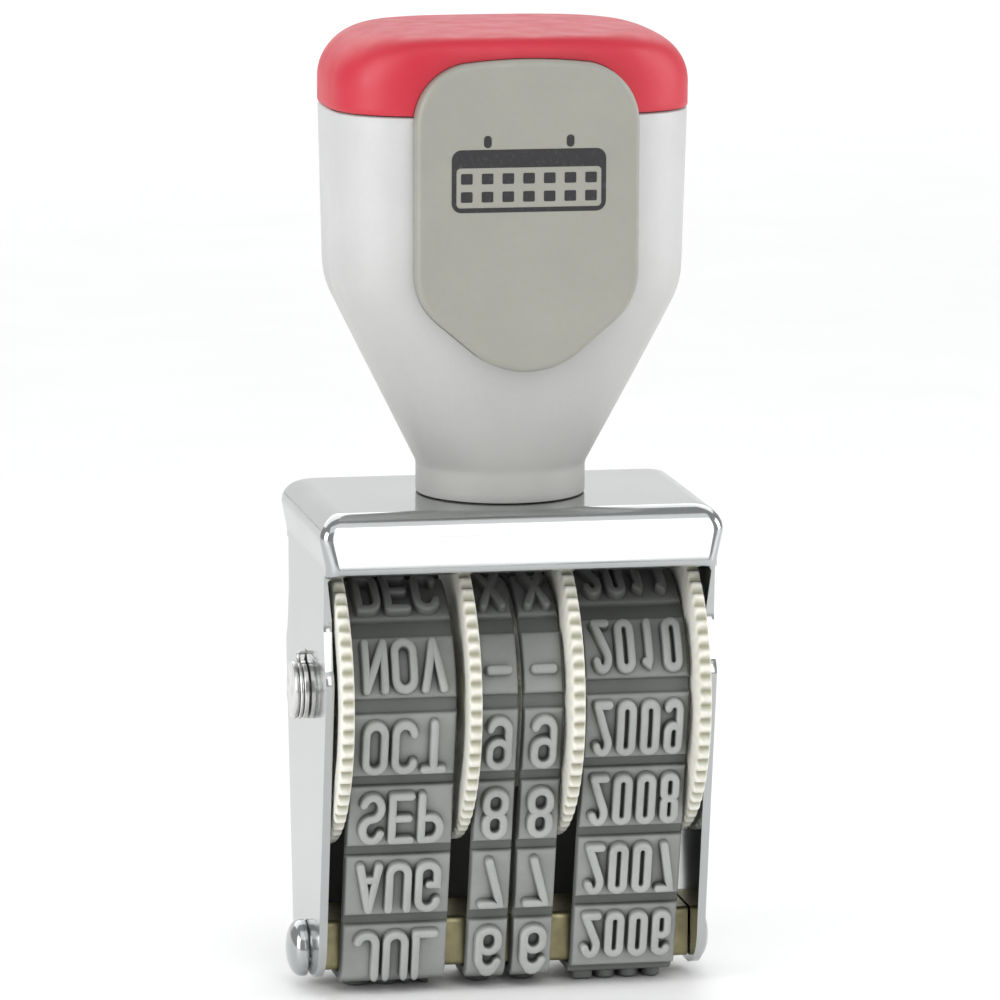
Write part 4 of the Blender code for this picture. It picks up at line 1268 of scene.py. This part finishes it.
def make_camera():
    """The camera, turned about the point it aims at."""
    yaw, pitch, roll = (radians(angle) for angle in CAMERA_TURN)
    forward = Vector((sin(yaw) * cos(pitch), cos(yaw) * cos(pitch), -sin(pitch)))
    level = Vector((cos(yaw), -sin(yaw), 0))
    up = level.cross(forward)
    right = cos(roll) * level + sin(roll) * up
    above = cos(roll) * up - sin(roll) * level
    data = bpy.data.cameras.new("camera")
    data.lens = CAMERA_LENS
    data.sensor_width = 36
    data.clip_start = 0.01
    data.clip_end = 10
    camera = add_to_scene(bpy.data.objects.new("camera", data))
    turn = Matrix((right, above, -forward)).transposed().to_4x4()
    camera.matrix_world = Matrix.Translation((CAMERA_AIM - forward * CAMERA_DISTANCE) * MM) @ turn
    bpy.context.scene.camera = camera


def area_light(name, size, place_mm, target_mm, watts):
    """A plain rectangular soft light that faces a target."""
    data = bpy.data.lights.new(name, "AREA")
    data.shape = "RECTANGLE"
    data.size, data.size_y = size[0] * MM, size[1] * MM
    data.energy = watts
    light = add_to_scene(bpy.data.objects.new(name, data))
    light.location = Vector(place_mm) * MM
    toward = Vector(target_mm) * MM - light.location
    light.rotation_euler = toward.to_track_quat("-Z", "Y").to_euler()


def make_stage():
    """A wide, plain, pale floor."""
    nodes = Nodes("pale_floor", (0.93, 0.93, 0.93), 0.6)
    nodes.color(nodes.blend(nodes.clouds(0.05, 4.0), (0.92, 0.92, 0.92), (0.94, 0.94, 0.94)))
    nodes.bump((nodes.noise(1.5, 3.0), 0.01))
    builder = Builder()
    grid = np.linspace(-FLOOR_HALF, FLOOR_HALF, 12)
    builder.strips([builder.add([(x, y, 0.0) for x in grid]) for y in grid], closed=False)
    floor = builder.build("floor", nodes.material)


def make_light():
    """A dim, even world and plain softboxes: round the stamp, and behind it for the floor."""
    world = bpy.data.worlds.new("studio")
    world.use_nodes = True
    background = world.node_tree.nodes["Background"]
    background.inputs["Color"].default_value = (0.99, 0.995, 1.0, 1)
    background.inputs["Strength"].default_value = 0.45
    bpy.context.scene.world = world
    area_light("key_softbox", (420, 320), (-60, -220, 420), LIGHT_AIM, 0.36)
    area_light("left_softbox", (200, 260), (-340, -130, 150), LIGHT_AIM, 0.82)
    area_light("right_softbox", (180, 260), (340, -70, 150), LIGHT_AIM, 0.68)
    area_light("front_card", (120, 380), (60, -300, 230), (60, 0, 230), 0.31)
    area_light("back_panel", (1800, 900), (0, 1300, 460), (0, 0, 100), 2.7)
    area_light("back_softbox", (1600, 900), (0, 900, 700), (0, 700, 0), 5.9)
    bpy.context.scene.view_settings.view_transform = "Standard"


# ---- assembly

make_camera()
make_stage()
make_light()

make_handle_shell()
make_cap()
make_plaque("plaque_front_face", -1, "front_plaque")
make_plaque("plaque_rear_face", 1, "rear_plaque")
make_pictogram()

make_frame()
make_axle()
make_clip("spring_clip_left", -1, "axle_clip_left")
make_clip("spring_clip_right", 1, "axle_clip_right")
make_platen()
make_rivet("domed_rivet_left", -1, "platen_rivet_left")
make_rivet("domed_rivet_right", 1, "platen_rivet_right")
make_screw()

for dial in ("month", "day_tens", "day_units", "year"):
    make_wheel(f"{dial}_dial_wheel", f"{dial}_wheel", f"{dial}_band", f"{dial}_dial")

for dial, legends, advance, glyph_half_width, phase in (
    ("month", MONTHS, 2.17, 0.68, -0.45),
    ("day_tens", DAYS, 2.0, 0.70, -0.4),
    ("day_units", DAYS, 2.0, 0.70, -0.4),
    ("year", YEARS, 1.76, 0.44, 0.4),
):
    make_band(f"{dial}_type_band", f"{dial}_band", legends, advance, glyph_half_width, phase)
